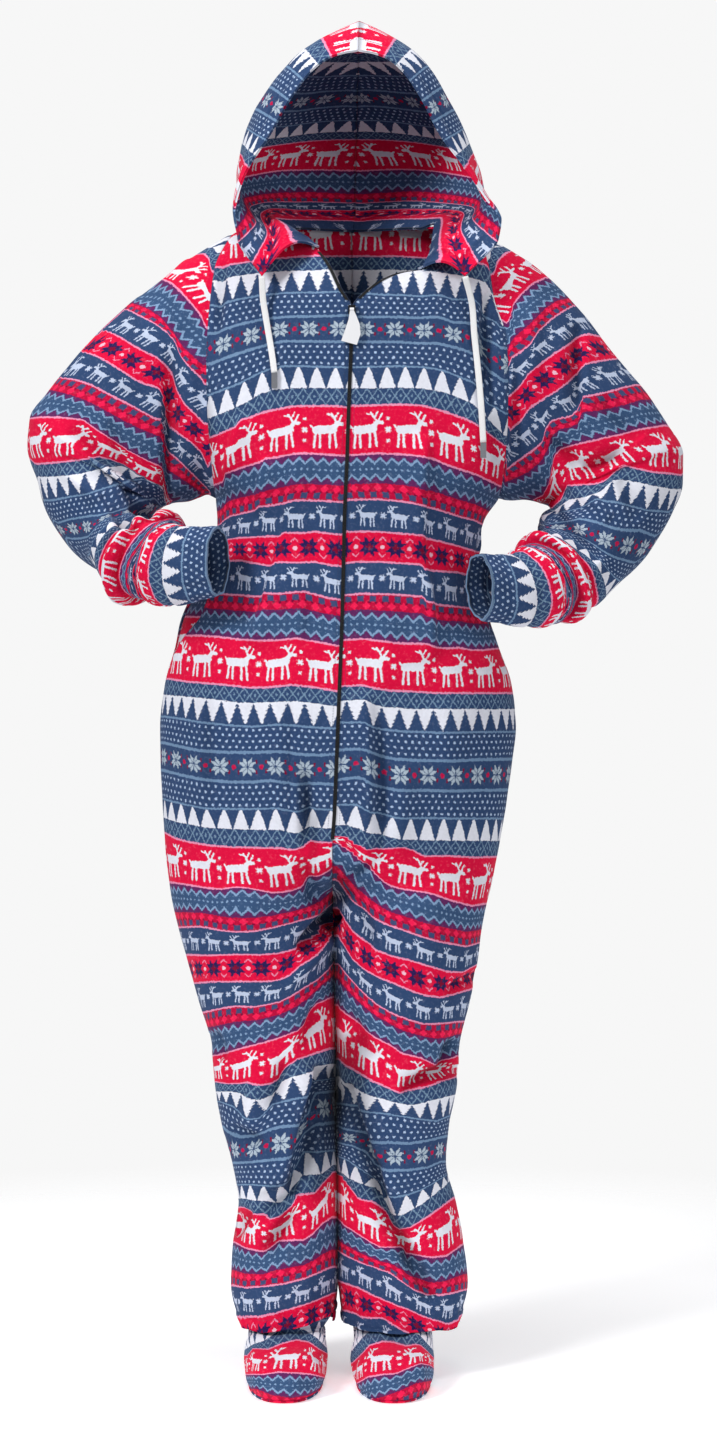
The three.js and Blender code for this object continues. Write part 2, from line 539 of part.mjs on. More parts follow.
// Zip: a closed chain down the centre front and two open halves along the neck opening
const ZIP_END_ROW = rowOf(-737), ZIP_TOP = LOWER_ROWS + ZIP_TOP_ROW;
{
  const rows = [ZIP_END_ROW];
  for (let r = Math.ceil(ZIP_END_ROW + 0.01); r < ZIP_TOP; r++) rows.push(r);
  rows.push(ZIP_TOP - 0.12);
  const pts = rows.map((r) => onGrid(FRONT(1), r, 0, 0).add(onGrid(FRONT(-1), r, 0, 0)).multiplyScalar(0.5));
  const out = rows.map(() => V(0, -1, 0));
  add('zip_chain_closed', strip(pts, rows.map(() => V(1, 0, 0)), out, 2.3, 0.5, 2.3), COLOR.zip);
}
for (const side of SIDES) {
  const rows = [0.25, 0.6, 1, 1.5, 2, 2.5, 2.88].map((d) => ZIP_TOP + d);
  const pts = rows.map((r) => onGrid(FRONT(side), r, 0.1, 0));
  const wid = rows.map((r, i) => onGrid(FRONT(side), r, 0.6, 0).sub(pts[i]).normalize());
  const out = rows.map((r) => onGrid(FRONT(side), r, 0.1, 1).sub(onGrid(FRONT(side), r, 0.1, 0)).normalize());
  add(`zip_chain_open_${sideCol(side)}`, strip(pts, wid, out, 2.1, 0.5, 2.3), COLOR.zip);
}

// Slider with two lugs and a pin, and the pull tab whose eye turns on that pin
function toMesh(man) {
  const m = man.getMesh();
  return { pos: Array.from(m.vertProperties), idx: Array.from(m.triVerts) };
}
const PIN = V(0, -126.0, -92);
{
  const body = Manifold.cube([9, 4.4, 11], true).translate([PIN.x, PIN.y + 5, PIN.z]);
  const lug = (x) => Manifold.cube([1.5, 5.4, 3.6], true).translate([x, PIN.y + 1.1, PIN.z]);
  const pin = Manifold.cylinder(8, 0.8, 0.8, 16, true).rotate([0, 90, 0]).translate([PIN.x, PIN.y, PIN.z]);
  add('zip_slider', toMesh(body.add(lug(-3.75)).add(lug(3.75)).add(pin)), COLOR.zip);

  const eye = Manifold.cylinder(5.2, 2.0, 2.0, 24, true).rotate([0, 90, 0]);
  const bore = Manifold.cylinder(12, 1.15, 1.15, 24, true).rotate([0, 90, 0]);
  const flag = [[-4, -12], [-8, -24], [-13, -38], [6, -43], [10.5, -30], [9.5, -18], [5.5, -8], [2.4, -1], [-2.4, -1]];
  const plate = Manifold.extrude([flag], 1.5, 0, 0, [1, 1], true).rotate([90, 0, 0]);
  add('pull_tab', toMesh(plate.add(eye).subtract(bore).translate([PIN.x, PIN.y, PIN.z])), COLOR.tab);
}

// Drawstring ends: flat cord hanging from the rim casing, with a crimped metal tip
const CORDS = {
  1: table(['x', 'z', 'off'], [[146, -84, 16], [149, -122, 7], [153, -160, 5], [157, -205, 5], [160, -252, 5]]),
  '-1': table(['x', 'z', 'off'], [[-108, -78, 14], [-105, -98, 8], [-101, -122, 5], [-97, -146, 5], [-94, -168, 5]]),
};
const CORD_EXIT = V(0, -0.6, -0.7);   // from the rim's lowest point to the cord's top end
// Front surface at a place: solves the row and the share of it by bisection
function frontY(x, z) {
  const side = x < 0 ? -1 : 1;
  let row = 0, s = 0.5;
  for (let q = 0; q < 40; q++) {
    let lo = 0, hi = 1;
    for (let k = 0; k < 30; k++) {
      s = (lo + hi) / 2;
      if (Math.abs(upperPoint(side, row, s, -1).x) < Math.abs(x)) lo = s; else hi = s;
    }
    row = Math.max(0, Math.min(UPPER_ROWS, row + (z - upperPoint(side, row, s, -1).z) / 28));
  }
  return upperPoint(side, row, s, -1).y;
}
for (const side of SIDES) {
  const pts = CORDS[side].map((r) => V(r.x, frontY(r.x, r.z) - r.off, r.z));
  pts.unshift(hoodPoint(side, 0.1, 0).add(CORD_EXIT));
  const n = 14;
  const fine = Array.from({ length: n + 1 }, (_, i) => {
    const u = (i / n) * (pts.length - 1), k = Math.min(pts.length - 2, Math.floor(u));
    return pts[k].clone().lerp(pts[k + 1], u - k);
  });
  add(`drawstring_${sideCol(side)}`, strip(fine, fine.map(() => V(1, 0, 0)), fine.map(() => V(0, -1, 0)), 3.8, -1.1, 1.1),
    COLOR.cord);
  const end = fine[n];
  const tip = [V(end.x, end.y, end.z - 0.3), V(end.x, end.y, end.z - 19)];
  add(`cord_tip_${sideCol(side)}`, strip(tip, [V(1, 0, 0), V(1, 0, 0)], [V(0, -1, 0), V(0, -1, 0)], 3.6, -1.7, 1.7), COLOR.metal);
}

export default group;
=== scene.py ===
import bmesh
import bpy
import math
import numpy as np
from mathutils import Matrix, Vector


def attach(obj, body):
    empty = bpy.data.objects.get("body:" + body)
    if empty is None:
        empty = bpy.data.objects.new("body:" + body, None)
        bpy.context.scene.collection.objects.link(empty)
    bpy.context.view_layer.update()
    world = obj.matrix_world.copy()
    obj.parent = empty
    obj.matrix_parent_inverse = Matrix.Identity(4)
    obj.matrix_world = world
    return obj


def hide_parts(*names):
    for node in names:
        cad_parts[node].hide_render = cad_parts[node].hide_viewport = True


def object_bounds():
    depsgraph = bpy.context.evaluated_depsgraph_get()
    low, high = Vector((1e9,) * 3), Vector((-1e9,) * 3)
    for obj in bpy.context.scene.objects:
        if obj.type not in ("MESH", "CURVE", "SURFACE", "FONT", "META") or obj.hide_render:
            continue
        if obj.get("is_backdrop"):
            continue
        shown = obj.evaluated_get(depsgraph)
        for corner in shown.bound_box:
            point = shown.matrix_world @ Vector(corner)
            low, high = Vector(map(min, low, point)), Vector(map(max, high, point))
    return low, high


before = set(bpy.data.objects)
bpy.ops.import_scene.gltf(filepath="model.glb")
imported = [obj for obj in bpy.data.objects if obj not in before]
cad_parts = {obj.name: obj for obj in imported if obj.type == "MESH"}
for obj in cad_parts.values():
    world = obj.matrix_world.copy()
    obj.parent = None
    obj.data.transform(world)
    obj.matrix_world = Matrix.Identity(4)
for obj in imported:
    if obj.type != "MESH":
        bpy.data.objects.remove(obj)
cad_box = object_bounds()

MM = 0.001
PI = math.pi

# Camera: level with the thighs, four and a half metres away
EYE = np.array([8.0, -4500.0, -440.0])
AIM = np.array([8.0, 0.0, -594.0])
camera_data = bpy.data.cameras.new("camera")
camera_data.lens = 90
camera_data.sensor_width = 36
camera = bpy.data.objects.new("camera", camera_data)
bpy.context.scene.collection.objects.link(camera)
camera.location = EYE * MM
camera.rotation_euler = Vector(AIM - EYE).to_track_quat("-Z", "Y").to_euler()
bpy.context.scene.camera = camera
bpy.context.scene.view_settings.view_transform = "Standard"


class Table:
    """Rows of named columns; the first column is the key, read between rows by a monotone cubic."""

    def __init__(self, names, text):
        rows = np.array([[float(v) for v in line.split()] for line in text.strip().splitlines()])
        if rows[0, 0] > rows[-1, 0]:
            rows = rows[::-1]
        self.key = rows[:, 0]
        self.columns = dict(zip(names.split(), rows.T))

    def at(self, name, x):
        k, v = self.key, self.columns[name]
        slope = np.diff(v) / np.diff(k)
        tangent = np.concatenate([slope[:1], np.zeros(len(v) - 2), slope[-1:]])
        a, b = slope[:-1], slope[1:]
        level = a * b > 0
        tangent[1:-1] = np.where(level, 2 * a * b / np.where(level, a + b, 1), 0)
        x = np.clip(np.asarray(x, float), k[0], k[-1])
        i = np.clip(np.searchsorted(k, x) - 1, 0, len(k) - 2)
        h = k[i + 1] - k[i]
        t = (x - k[i]) / h
        return ((2 * t**3 - 3 * t**2 + 1) * v[i] + (t**3 - 2 * t**2 + t) * h * tangent[i]
                + (3 * t**2 - 2 * t**3) * v[i + 1] + (t**3 - t**2) * h * tangent[i + 1])


# Sizes shared with the solids
CLOTH = 2.6
UPPER_ROWS, LOWER_ROWS, PANEL_COLS = 14, 29, 8
HEM_Z, UNDERARM_Z, SOLE_Z = -1350, -319, -1412
ZIP_TOP_ROW, HOOD_ROW = 9, 12
SIDES = {-1: "left", 1: "right"}

# Body and legs below the underarm: centre line, side edges, depths and leg depth
BODY = Table("z mid left right front back leg", """
-319 -8 -170 182 128 130 110
-345 -9 -168 165 126 128 110
-391 -10 -174 155 123 124 110
-430 -11 -196 163 126 126 110
-469 -12 -214 173 130 132 110
-499 -13 -221 182 133 138 110
-549 -15 -234 199 138 146 112
-599 -17 -240 204 141 152 114
-649 -19 -239 199 139 154 118
-699 -21 -237 193 133 149 120
-749 -24 -234 184 124 138 120
-799 -24 -228 174 117 126 118
-849 -24 -219 163 112 116 112
-899 -23 -206 156 106 108 104
-949 -22 -191 147 100 100 97
-999 -21 -177 135 96 96 89
-1049 -21 -172 131 92 92 87
-1099 -20 -164 122 88 88 83
-1149 -19 -150 118 84 84 80
-1199 -19 -143 130 82 82 79
-1249 -18 -149 140 82 82 80
-1299 -18 -152 145 82 82 80
-1350 -17 -142 136 80 80 78
""")
# How far the two legs have parted at each level of the crotch curve
CROTCH = Table("z part gap", """
-1350 1 6
-1300 1 0
-1280 1 -0.6
-1100 1 -0.8
-900 1 -0.8
-822 1 -0.5
-810 0.8 0.3
-798 0.45 0.15
-786 0.2 0.15
-766 0.05 0.15
-735 0 0.15
-319 0 0.15
""")
# Armhole from the shoulder tip to the underarm
ARMHOLE = Table("t left right y z", """
0 -150 152 0 12
0.08 -161 163 24 -8
0.16 -170 170 44 -32
0.28 -175 176 66 -75
0.40 -178 189 80 -118
0.52 -179 192 88 -162
0.66 -178 192 90 -212
0.80 -175 190 80 -262
0.92 -172 186 46 -303
1 -170 182 0 -319
""")
# Inner edges above the underarm: centre front, zip edge and neckline; centre back and neck
UPPER = Table("row lx ly lz rx ry rz bl br by bz arc", """
0 -8 -128 -319 -8 -128 -319 -8 -8 130 -319 90
2 -6 -127 -276 -6 -127 -276 -6 -6 131 -276 82
4 -4.5 -125 -230 -4.5 -125 -230 -4.5 -4.5 131 -230 74
6 -2.5 -122 -178 -2.5 -122 -178 -2.5 -2.5 128 -180 67
8 -0.5 -118 -122 -0.5 -118 -122 -0.5 -0.5 120 -118 62
9 0 -116 -91 0 -116 -91 0 0 113 -84 60
10 -13 -110 -64 25 -110 -61 0 0 106 -50 58
11 -25 -99 -38 55 -98 -46 0 0 97 -8 57
12 -42 -80 -14 82 -84 -41 0 0 88 28 56
13 -70 -44 8 99 -44 -14 -55 62 60 28 54
14 -95 0 22 104 0 22 -95 104 0 22 52
""")
# Sleeve rings from armhole to cuff: outer edge, inner edge, place and depth front to back
SLEEVE = {-1: Table("k ox oz ix iz y depth", """
0 -150 12 -170 -319 0 90
1 -198 -16 -182 -313 3 88
2 -234 -43 -192 -316 7 84
3 -286 -82 -206 -321 12 80
4 -336 -131 -221 -323 18 78
5 -382 -184 -233 -326 24 78
6 -404 -217 -239 -329 26 78
7 -407 -254 -243 -332 24 76
8 -395 -291 -245 -336 18 74
9 -386 -322 -245 -340 10 72
10 -358 -368 -246 -344 -6 68
11 -322 -397 -250 -347 -26 62
12 -302 -421 -247 -347 -44 56
13 -290 -444 -220 -339 -62 52
14 -266 -437 -211 -353 -78 40
15 -240 -448 -212 -353 -92 44
16 -214 -451 -208 -354 -108 34
17 -162 -439 -162 -357 -132 31
"""), 1: Table("k ox oz ix iz y depth", """
0 152 12 182 -319 0 90
1 200 -10 190 -320 3 88
2 240 -39 200 -320 7 84
3 284 -84 214 -319 12 80
4 333 -144 229 -321 18 78
5 375 -192 241 -325 24 78
6 396 -224 247 -328 26 78
7 415 -262 248 -332 24 76
8 414 -296 242 -337 18 74
9 403 -328 236 -343 10 72
10 372 -382 233 -350 -6 68
11 337 -418 237 -359 -26 62
12 303 -451 236 -367 -42 56
13 276 -468 216 -369 -58 52
14 256 -465 206 -383 -74 42
15 240 -474 200 -384 -88 46
16 212 -477 191 -388 -106 36
17 157 -467 152 -387 -134 31
""")}
# Hood rows from just above the neck seam to the crown seam: rim, cheek, side, rear, centre back
HOOD = Table("b rx ry rz cx cy cz sx sy sz px py pz by bz", """
0.10 137 -117 -51 122 -84 -6 126 -8 32 72 74 42 98 44
0.20 176 -104 -6 150 -66 18 146 0 46 86 84 60 112 62
0.30 179 -96 19 160 -56 40 152 8 66 96 92 82 122 86
0.42 162 -88 44 154 -42 68 149 16 90 98 98 108 129 114
0.54 135 -83 84 143 -40 100 140 18 116 94 98 134 129 144
0.66 104 -83 124 125 -42 140 126 14 152 84 92 164 122 174
0.78 80 -88 167 101 -46 186 101 8 194 66 78 200 106 206
0.88 56 -92 200 74 -50 221 74 2 228 46 60 228 84 230
0.95 33 -95 217 46 -54 242 46 -2 251 29 42 247 62 247
1 0 -97 226 0 -58 262 0 -6 276 0 26 272 46 262
""")
HOOD_SHIFT = Table("z shift left_scale", """
-60 0 0.80
-6 2 0.80
20 3 0.82
44 4 0.90
90 4 0.98
140 5 1.02
280 9 1
""")
# Footed part: rise above the sole, half width, toe and heel reach
FOOT = Table("rise half toe heel", """
3.2 46 -190 62
14 50 -199 68
29 50 -194 69
42 49 -176 70
52 48 -138 70
57 47 -92 68
59.5 45 -64 64
""")
FOOT_X = {-1: -82, 1: 51}
# Slant pocket opening: how far the front panel's edge stands back from the side seam
POCKET = Table("z left right", """
-560 0 0
-532 0.03 0.02
-497 0.15 0.06
-461 0.32 0.14
-426 0.30 0.12
-390 0.12 0.05
-356 0 0
-319 0 0
""")


def vec(x, y, z):
    return np.stack(np.broadcast_arrays(x, y, z), -1).astype(float)


def mix(a, b, t):
    return a + (b - a) * t


def unit(v):
    return v / np.maximum(np.linalg.norm(v, axis=-1, keepdims=True), 1e-9)


def ramp(x, a, b):
    t = np.clip((np.asarray(x, float) - a) / (b - a), 0, 1)
    return t * t * (3 - 2 * t)


# Below the underarm: s runs 0 centre front, 0.5 side seam, 1 centre back
def lower_point(side, z, s):
    mid, part, gap = BODY.at("mid", z), CROTCH.at("part", z), CROTCH.at("gap", z)
    half = np.abs(BODY.at(SIDES[side], z) - mid)
    depth = np.where(np.cos(PI * s) > 0, BODY.at("front", z), BODY.at("back", z))
    tx = gap + (half - gap) * np.sin(PI * s)
    ty = -depth * np.cos(PI * s)
    lx = gap + (half - gap) / 2 * (1 - np.cos(2 * PI * s))
    ly = -BODY.at("leg", z) * np.sin(2 * PI * s)
    return vec(mid + side * mix(tx, lx, part), mix(ty, ly, part), z)


def armhole_point(side, t, face):
    return vec(ARMHOLE.at(SIDES[side], t), face * ARMHOLE.at("y", t), ARMHOLE.at("z", t))


# Above the underarm: s runs 0 inner edge, 1 armhole edge; face -1 front, 1 back
def upper_point(side, row, s, face):
    at = lambda name: UPPER.at(name, row)
    if face > 0:
        inner = vec(at("bl" if side < 0 else "br") + side * 0.15, at("by"), at("bz"))
    elif side < 0:
        inner = vec(at("lx") - 0.15, at("ly"), at("lz"))
    else:
        inner = vec(at("rx") + 0.15, at("ry"), at("rz"))
    outer = armhole_point(side, 1 - row / UPPER_ROWS, face)
    arc = np.radians(at("arc"))
    return vec(mix(inner[..., 0], outer[..., 0], np.sin(s * arc) / np.sin(arc)),
               mix(inner[..., 1], outer[..., 1], (1 - np.cos(s * arc)) / (1 - np.cos(arc))),
               mix(inner[..., 2], outer[..., 2], s))


def level_of(row):
    return mix(HEM_Z, UNDERARM_Z, row / LOWER_ROWS)


def row_of(z):
    return LOWER_ROWS * (z - HEM_Z) / (UNDERARM_Z - HEM_Z)


# One body panel: rows from the leg hem past the underarm to the shoulder seam
def panel_point(side, face, row, s):
    row, s = np.broadcast_arrays(np.asarray(row, float), np.asarray(s, float))
    low = lower_point(side, level_of(np.minimum(row, LOWER_ROWS)), s / 2 if face < 0 else 1 - s / 2)
    high = upper_point(side, np.maximum(row - LOWER_ROWS, 0), np.clip(s, -0.05, 1), face)
    return np.where((row <= LOWER_ROWS)[..., None], low, high)


def panel_normal(side, face, row, s):
    e = 0.01
    row, s = np.broadcast_arrays(np.asarray(row, float), np.asarray(s, float))
    low = row <= LOWER_ROWS
    s0, s1 = np.where(low, s - e, np.maximum(s - e, 0)), np.where(low, s + e, np.minimum(s + e, 1))
    r1 = np.minimum(row + e, LOWER_ROWS + UPPER_ROWS)
    ds = panel_point(side, face, row, s1) - panel_point(side, face, row, s0)
    dr = panel_point(side, face, r1, s) - panel_point(side, face, np.maximum(row - e, 0), s)
    n = np.cross(ds, dr) * (side * -face)
    centre = (s < 1e-6) & (row > LOWER_ROWS) & (row <= LOWER_ROWS + (ZIP_TOP_ROW if face < 0 else HOOD_ROW))
    n[..., 0] = np.where(centre, 0, n[..., 0])
    return unit(n)


# Share of a front panel's row that is kept, less than one beside the pocket
def reach(side, row):
    z = level_of(np.minimum(row, LOWER_ROWS))
    return np.where(row < LOWER_ROWS, 1 - POCKET.at(SIDES[side], z), 1)


# Sleeve: rings given by their outer and inner edges, started on the armhole itself
def ring_form(side, k, th):
    table = SLEEVE[side]
    at = lambda name, q: table.at(name, np.clip(q, 0, 17))
    middle = lambda q: vec((at("ox", q) + at("ix", q)) / 2, at("y", q), (at("oz", q) + at("iz", q)) / 2)
    outer, inner = vec(at("ox", k), at("y", k), at("oz", k)), vec(at("ix", k), at("y", k), at("iz", k))
    centre = (outer + inner) / 2
    up = outer - centre
    across = unit(np.cross(unit(middle(k + 0.4) - middle(k - 0.4)), up))
    across = np.where(across[..., 1:2] > 0, -across, across)
    return (centre + up * np.cos(th)[..., None]
            + across * (at("depth", k) * np.sin(th))[..., None])


def sleeve_point(side, k, th):
    k, th = np.broadcast_arrays(np.asarray(k, float), np.asarray(th, float))
    p = ring_form(side, k, th)
    w = np.mod(th, 2 * PI)
    t = np.where(w <= PI, w, 2 * PI - w) / PI
    edge = vec(ARMHOLE.at(SIDES[side], t), np.where(w <= PI, -1, 1) * ARMHOLE.at("y", t), ARMHOLE.at("z", t))
    return p + (edge - ring_form(side, 0 * k, th)) * (np.clip(1 - k / 2, 0, 1) ** 2)[..., None]


def sleeve_normal(side, k, th):
    e = 0.02
    around = sleeve_point(side, k, th + e) - sleeve_point(side, k, th - e)
    along = sleeve_point(side, np.minimum(k + e, 17), th) - sleeve_point(side, np.maximum(k - e, 0), th)
    return unit(np.cross(around, along)) * side


# Hood: b runs 0 neck seam to 1 crown seam, a runs 0 rim to 1 centre back
def neck_point(side, a):
    front = mix(HOOD_ROW, UPPER_ROWS, np.clip(a / 0.5, 0, 1))
    back = mix(UPPER_ROWS, HOOD_ROW, np.clip((a - 0.5) / 0.5, 0, 1))
    lift = np.where(a > 0.97, 0, 1)
    place = lambda face, row: (panel_point(side, face, LOWER_ROWS + row, -0.004 * lift)
                               + panel_normal(side, face, LOWER_ROWS + row, 0 * row) * (0.35 * lift)[..., None])
    return np.where((a <= 0.5)[..., None], place(-1, front), place(1, back))


def hood_row(side, b, a):
    at = lambda name: HOOD.at(name, b)

    def place(x, y, z):
        return vec(x * side * (HOOD_SHIFT.at("left_scale", z) if side < 0 else 1), y, z)

    pts = [place(at("rx"), at("ry"), at("rz")), place(at("cx"), at("cy"), at("cz")),
           place(at("sx"), at("sy"), at("sz")), place(at("px"), at("py"), at("pz")),
           vec(0 * b, at("by"), at("bz"))]
    mirror = pts[3] * np.array([-1, 1, 1])
    u = np.clip(a * 4, 0, 4 - 1e-9)
    i = np.floor(u).astype(int)
    f = (u - i)[..., None]
    stack = np.stack([pts[0]] + pts + [mirror])
    pick = lambda q: np.take_along_axis(stack, (i + q)[None, ..., None], 0)[0]
    A, B, C, D = pick(0), pick(1), pick(2), pick(3)
    p = 0.5 * (2 * B + (C - A) * f + (2 * A - 5 * B + 4 * C - D) * f**2 + (3 * B - A - 3 * C + D) * f**3)
    p[..., 0] = side * np.maximum(0.15, side * p[..., 0])
    return p


def hood_point(side, b, a):
    b, a = np.broadcast_arrays(np.asarray(b, float), np.asarray(a, float))
    first = 0.10
    above = hood_row(side, np.maximum(b, first), a)
    share = np.clip(b / first, 0, 1)
    p = mix(neck_point(side, a), above, share[..., None])
    roll = np.sin(PI * share) * np.maximum(0, 1 - 1.6 * a)
    p[..., 1] -= (14 if side < 0 else 11) * roll
    p[..., 2] += (19 if side < 0 else 12) * roll
    p[..., 0] += HOOD_SHIFT.at("shift", p[..., 2]) * share
    return p


def hood_normal(side, b, a):
    e = 0.01
    da = hood_point(side, b, np.minimum(a + e, 1)) - hood_point(side, b, np.maximum(a - e, 0))
    db = hood_point(side, np.minimum(b + e, 1), a) - hood_point(side, np.maximum(b - e, 0), a)
    n = np.cross(da, db) * side
    n[..., 0] = np.where((b > 0.9999) | (a > 0.9999), 0, n[..., 0])
    return unit(n)


# Print levels down the garment, as lines "level  x z  x z ..." seen from the front
LEFT_LINES = """
357  -169 -29  -142 -25  -112 -20  -65 -16  -2 -16
377  -169 -45  -140 -40  -112 -36  -84 -34  -2 -32
405.3  -171 -76  -161 -74  -140 -69  -112 -64  -84 -61  -2 -60
438.3  -176 -111  -168 -109  -140 -100  -112 -94  -84 -91  -28 -90  -2 -89
473.8  -176 -149  -159 -142  -139 -135  -126 -131  -104 -125  -84 -121  -2 -122
506.8  -178 -188  -159 -181  -141 -174  -132 -169  -114 -160  -101 -155  -84 -152  -65 -152  -2 -154
536.6  -178 -218  -152 -208  -131 -198  -114 -187  -99 -183  -81 -181  -62 -180  -2 -181
555.6  -176 -241  -159 -234  -142 -228  -139 -220  -126 -216  -114 -211  -89 -205  -69 -202
  -44 -202  -24 -202  -2 -204
615.6  -174 -301  -162 -297  -157 -285  -139 -279  -126 -275  -112 -271  -108 -267  -94 -266
  -75 -262  -62 -261  -38 -262  -8 -264
675.6  -166 -351  -159 -344  -151 -339  -132 -335  -117 -331  -115 -327  -101 -326  -77 -322
  -75 -320  -62 -319  -38 -320  -6 -322
715.2  -162 -369  -140 -366  -105 -364  -88 -364  -84 -359  -62 -360  -46 -358  -24 -361  -6 -362
753.6  -190 -398  -140 -394  -130 -396  -108 -400  -95 -402  -91 -398  -68 -398  -48 -396  -28 -400  -9 -402
794  -209 -434  -172 -436  -140 -438  -112 -440  -108 -437  -91 -438  -59 -434  -28 -442  -10 -444
853.6  -205 -488  -189 -488  -164 -490  -140 -493  -116 -495  -91 -494  -68 -492  -44 -496  -18 -501
913.6  -229 -542  -204 -546  -180 -548  -156 -550  -131 -553  -108 -553  -75 -550  -44 -553  -18 -558
933.6  -235 -562  -189 -566  -140 -572  -115 -572  -72 -570  -51 -572  -18 -577
961.9  -236 -589  -212 -592  -189 -596  -156 -600  -124 -602  -91 -599  -68 -601  -44 -603  -19 -604
994.9  -236 -622  -212 -627  -189 -631  -156 -634  -124 -634  -91 -633  -68 -636  -44 -638  -20 -636
1030.4  -236 -656  -212 -662  -189 -666  -156 -671  -124 -671  -100 -669  -75 -674  -59 -675
  -44 -673  -20 -674
1063.4  -238 -692  -224 -696  -204 -700  -180 -704  -156 -705  -124 -705  -91 -704  -84 -707
  -68 -709  -58 -707  -52 -705  -24 -706
1093.2  -238 -716  -220 -722  -204 -725  -180 -729  -156 -731  -124 -732  -91 -732  -70 -737
  -59 -733  -50 -729  -24 -730
1112.2  -236 -734  -222 -742  -204 -747  -180 -751  -156 -753  -124 -754  -91 -754  -75 -757
  -59 -753  -54 -746  -42 -747  -28 -748
1172.2  -228 -797  -208 -800  -184 -804  -161 -807  -138 -806  -122 -808  -99 -811  -75 -808
  -60 -804  -48 -797  -40 -790  -20 -776
1232.2  -216 -854  -192 -853  -169 -856  -145 -858  -122 -858  -99 -854  -75 -848  -52 -842
  -36 -838  -29 -829  -20 -818
1271.8  -209 -888  -184 -889  -161 -888  -138 -887  -114 -888  -91 -886  -68 -880  -48 -872
  -36 -864  -29 -854  -19 -845
1310.2  -199 -924  -176 -922  -152 -922  -130 -922  -106 -922  -91 -920  -81 -915  -68 -900
  -52 -887  -36 -870  -21 -854
1350.6  -186 -961  -161 -955  -145 -953  -122 -954  -106 -951  -91 -948  -75 -940  -60 -930
  -44 -921  -31 -909  -21 -895
1410.2  -175 -1016  -162 -1013  -132 -1004  -101 -996  -78 -988  -68 -984  -56 -975  -49 -962
  -40 -949  -26 -941
1470.2  -171 -1048  -156 -1051  -140 -1050  -128 -1047  -114 -1051  -101 -1051  -92 -1048  -85 -1036
  -80 -1028  -69 -1019  -52 -1014  -28 -1006
1490.2  -170 -1061  -156 -1060  -138 -1062  -125 -1067  -114 -1070  -101 -1067  -92 -1059  -88 -1050
  -76 -1042  -52 -1034  -28 -1026
1518.5  -166 -1072  -150 -1078  -140 -1085  -132 -1091  -125 -1093  -115 -1093  -108 -1085
  -101 -1078  -85 -1072  -69 -1067  -45 -1062  -40 -1051  -22 -1044
1551.5  -162 -1104  -154 -1114  -144 -1119  -129 -1119  -116 -1113  -101 -1107  -85 -1103  -69 -1102
  -52 -1099  -42 -1081  -35 -1062  -22 -1059
1587  -144 -1150  -125 -1149  -101 -1146  -85 -1143  -69 -1139  -55 -1126  -39 -1102  -22 -1099
1620  -139 -1178  -125 -1178  -101 -1180  -85 -1178  -76 -1174  -62 -1156  -50 -1138  -38 -1136  -25 -1135
1649.8  -136 -1196  -125 -1198  -108 -1200  -100 -1204  -92 -1204  -81 -1193  -69 -1184  -59 -1168
  -38 -1165  -24 -1154
1668.8  -138 -1206  -129 -1215  -114 -1216  -104 -1222  -92 -1219  -76 -1206  -68 -1192  -46 -1188
  -38 -1177  -24 -1161
1728.8  -149 -1250  -134 -1258  -112 -1263  -101 -1254  -94 -1250  -78 -1248  -61 -1248  -49 -1240
  -38 -1227  -26 -1219
1788.8  -149 -1305  -134 -1308  -109 -1306  -85 -1303  -61 -1297  -41 -1289  -26 -1282
1828.4  -139 -1343  -118 -1343  -94 -1341  -70 -1335  -45 -1328  -26 -1318
1866.8  -135 -1394  -26 -1366
"""
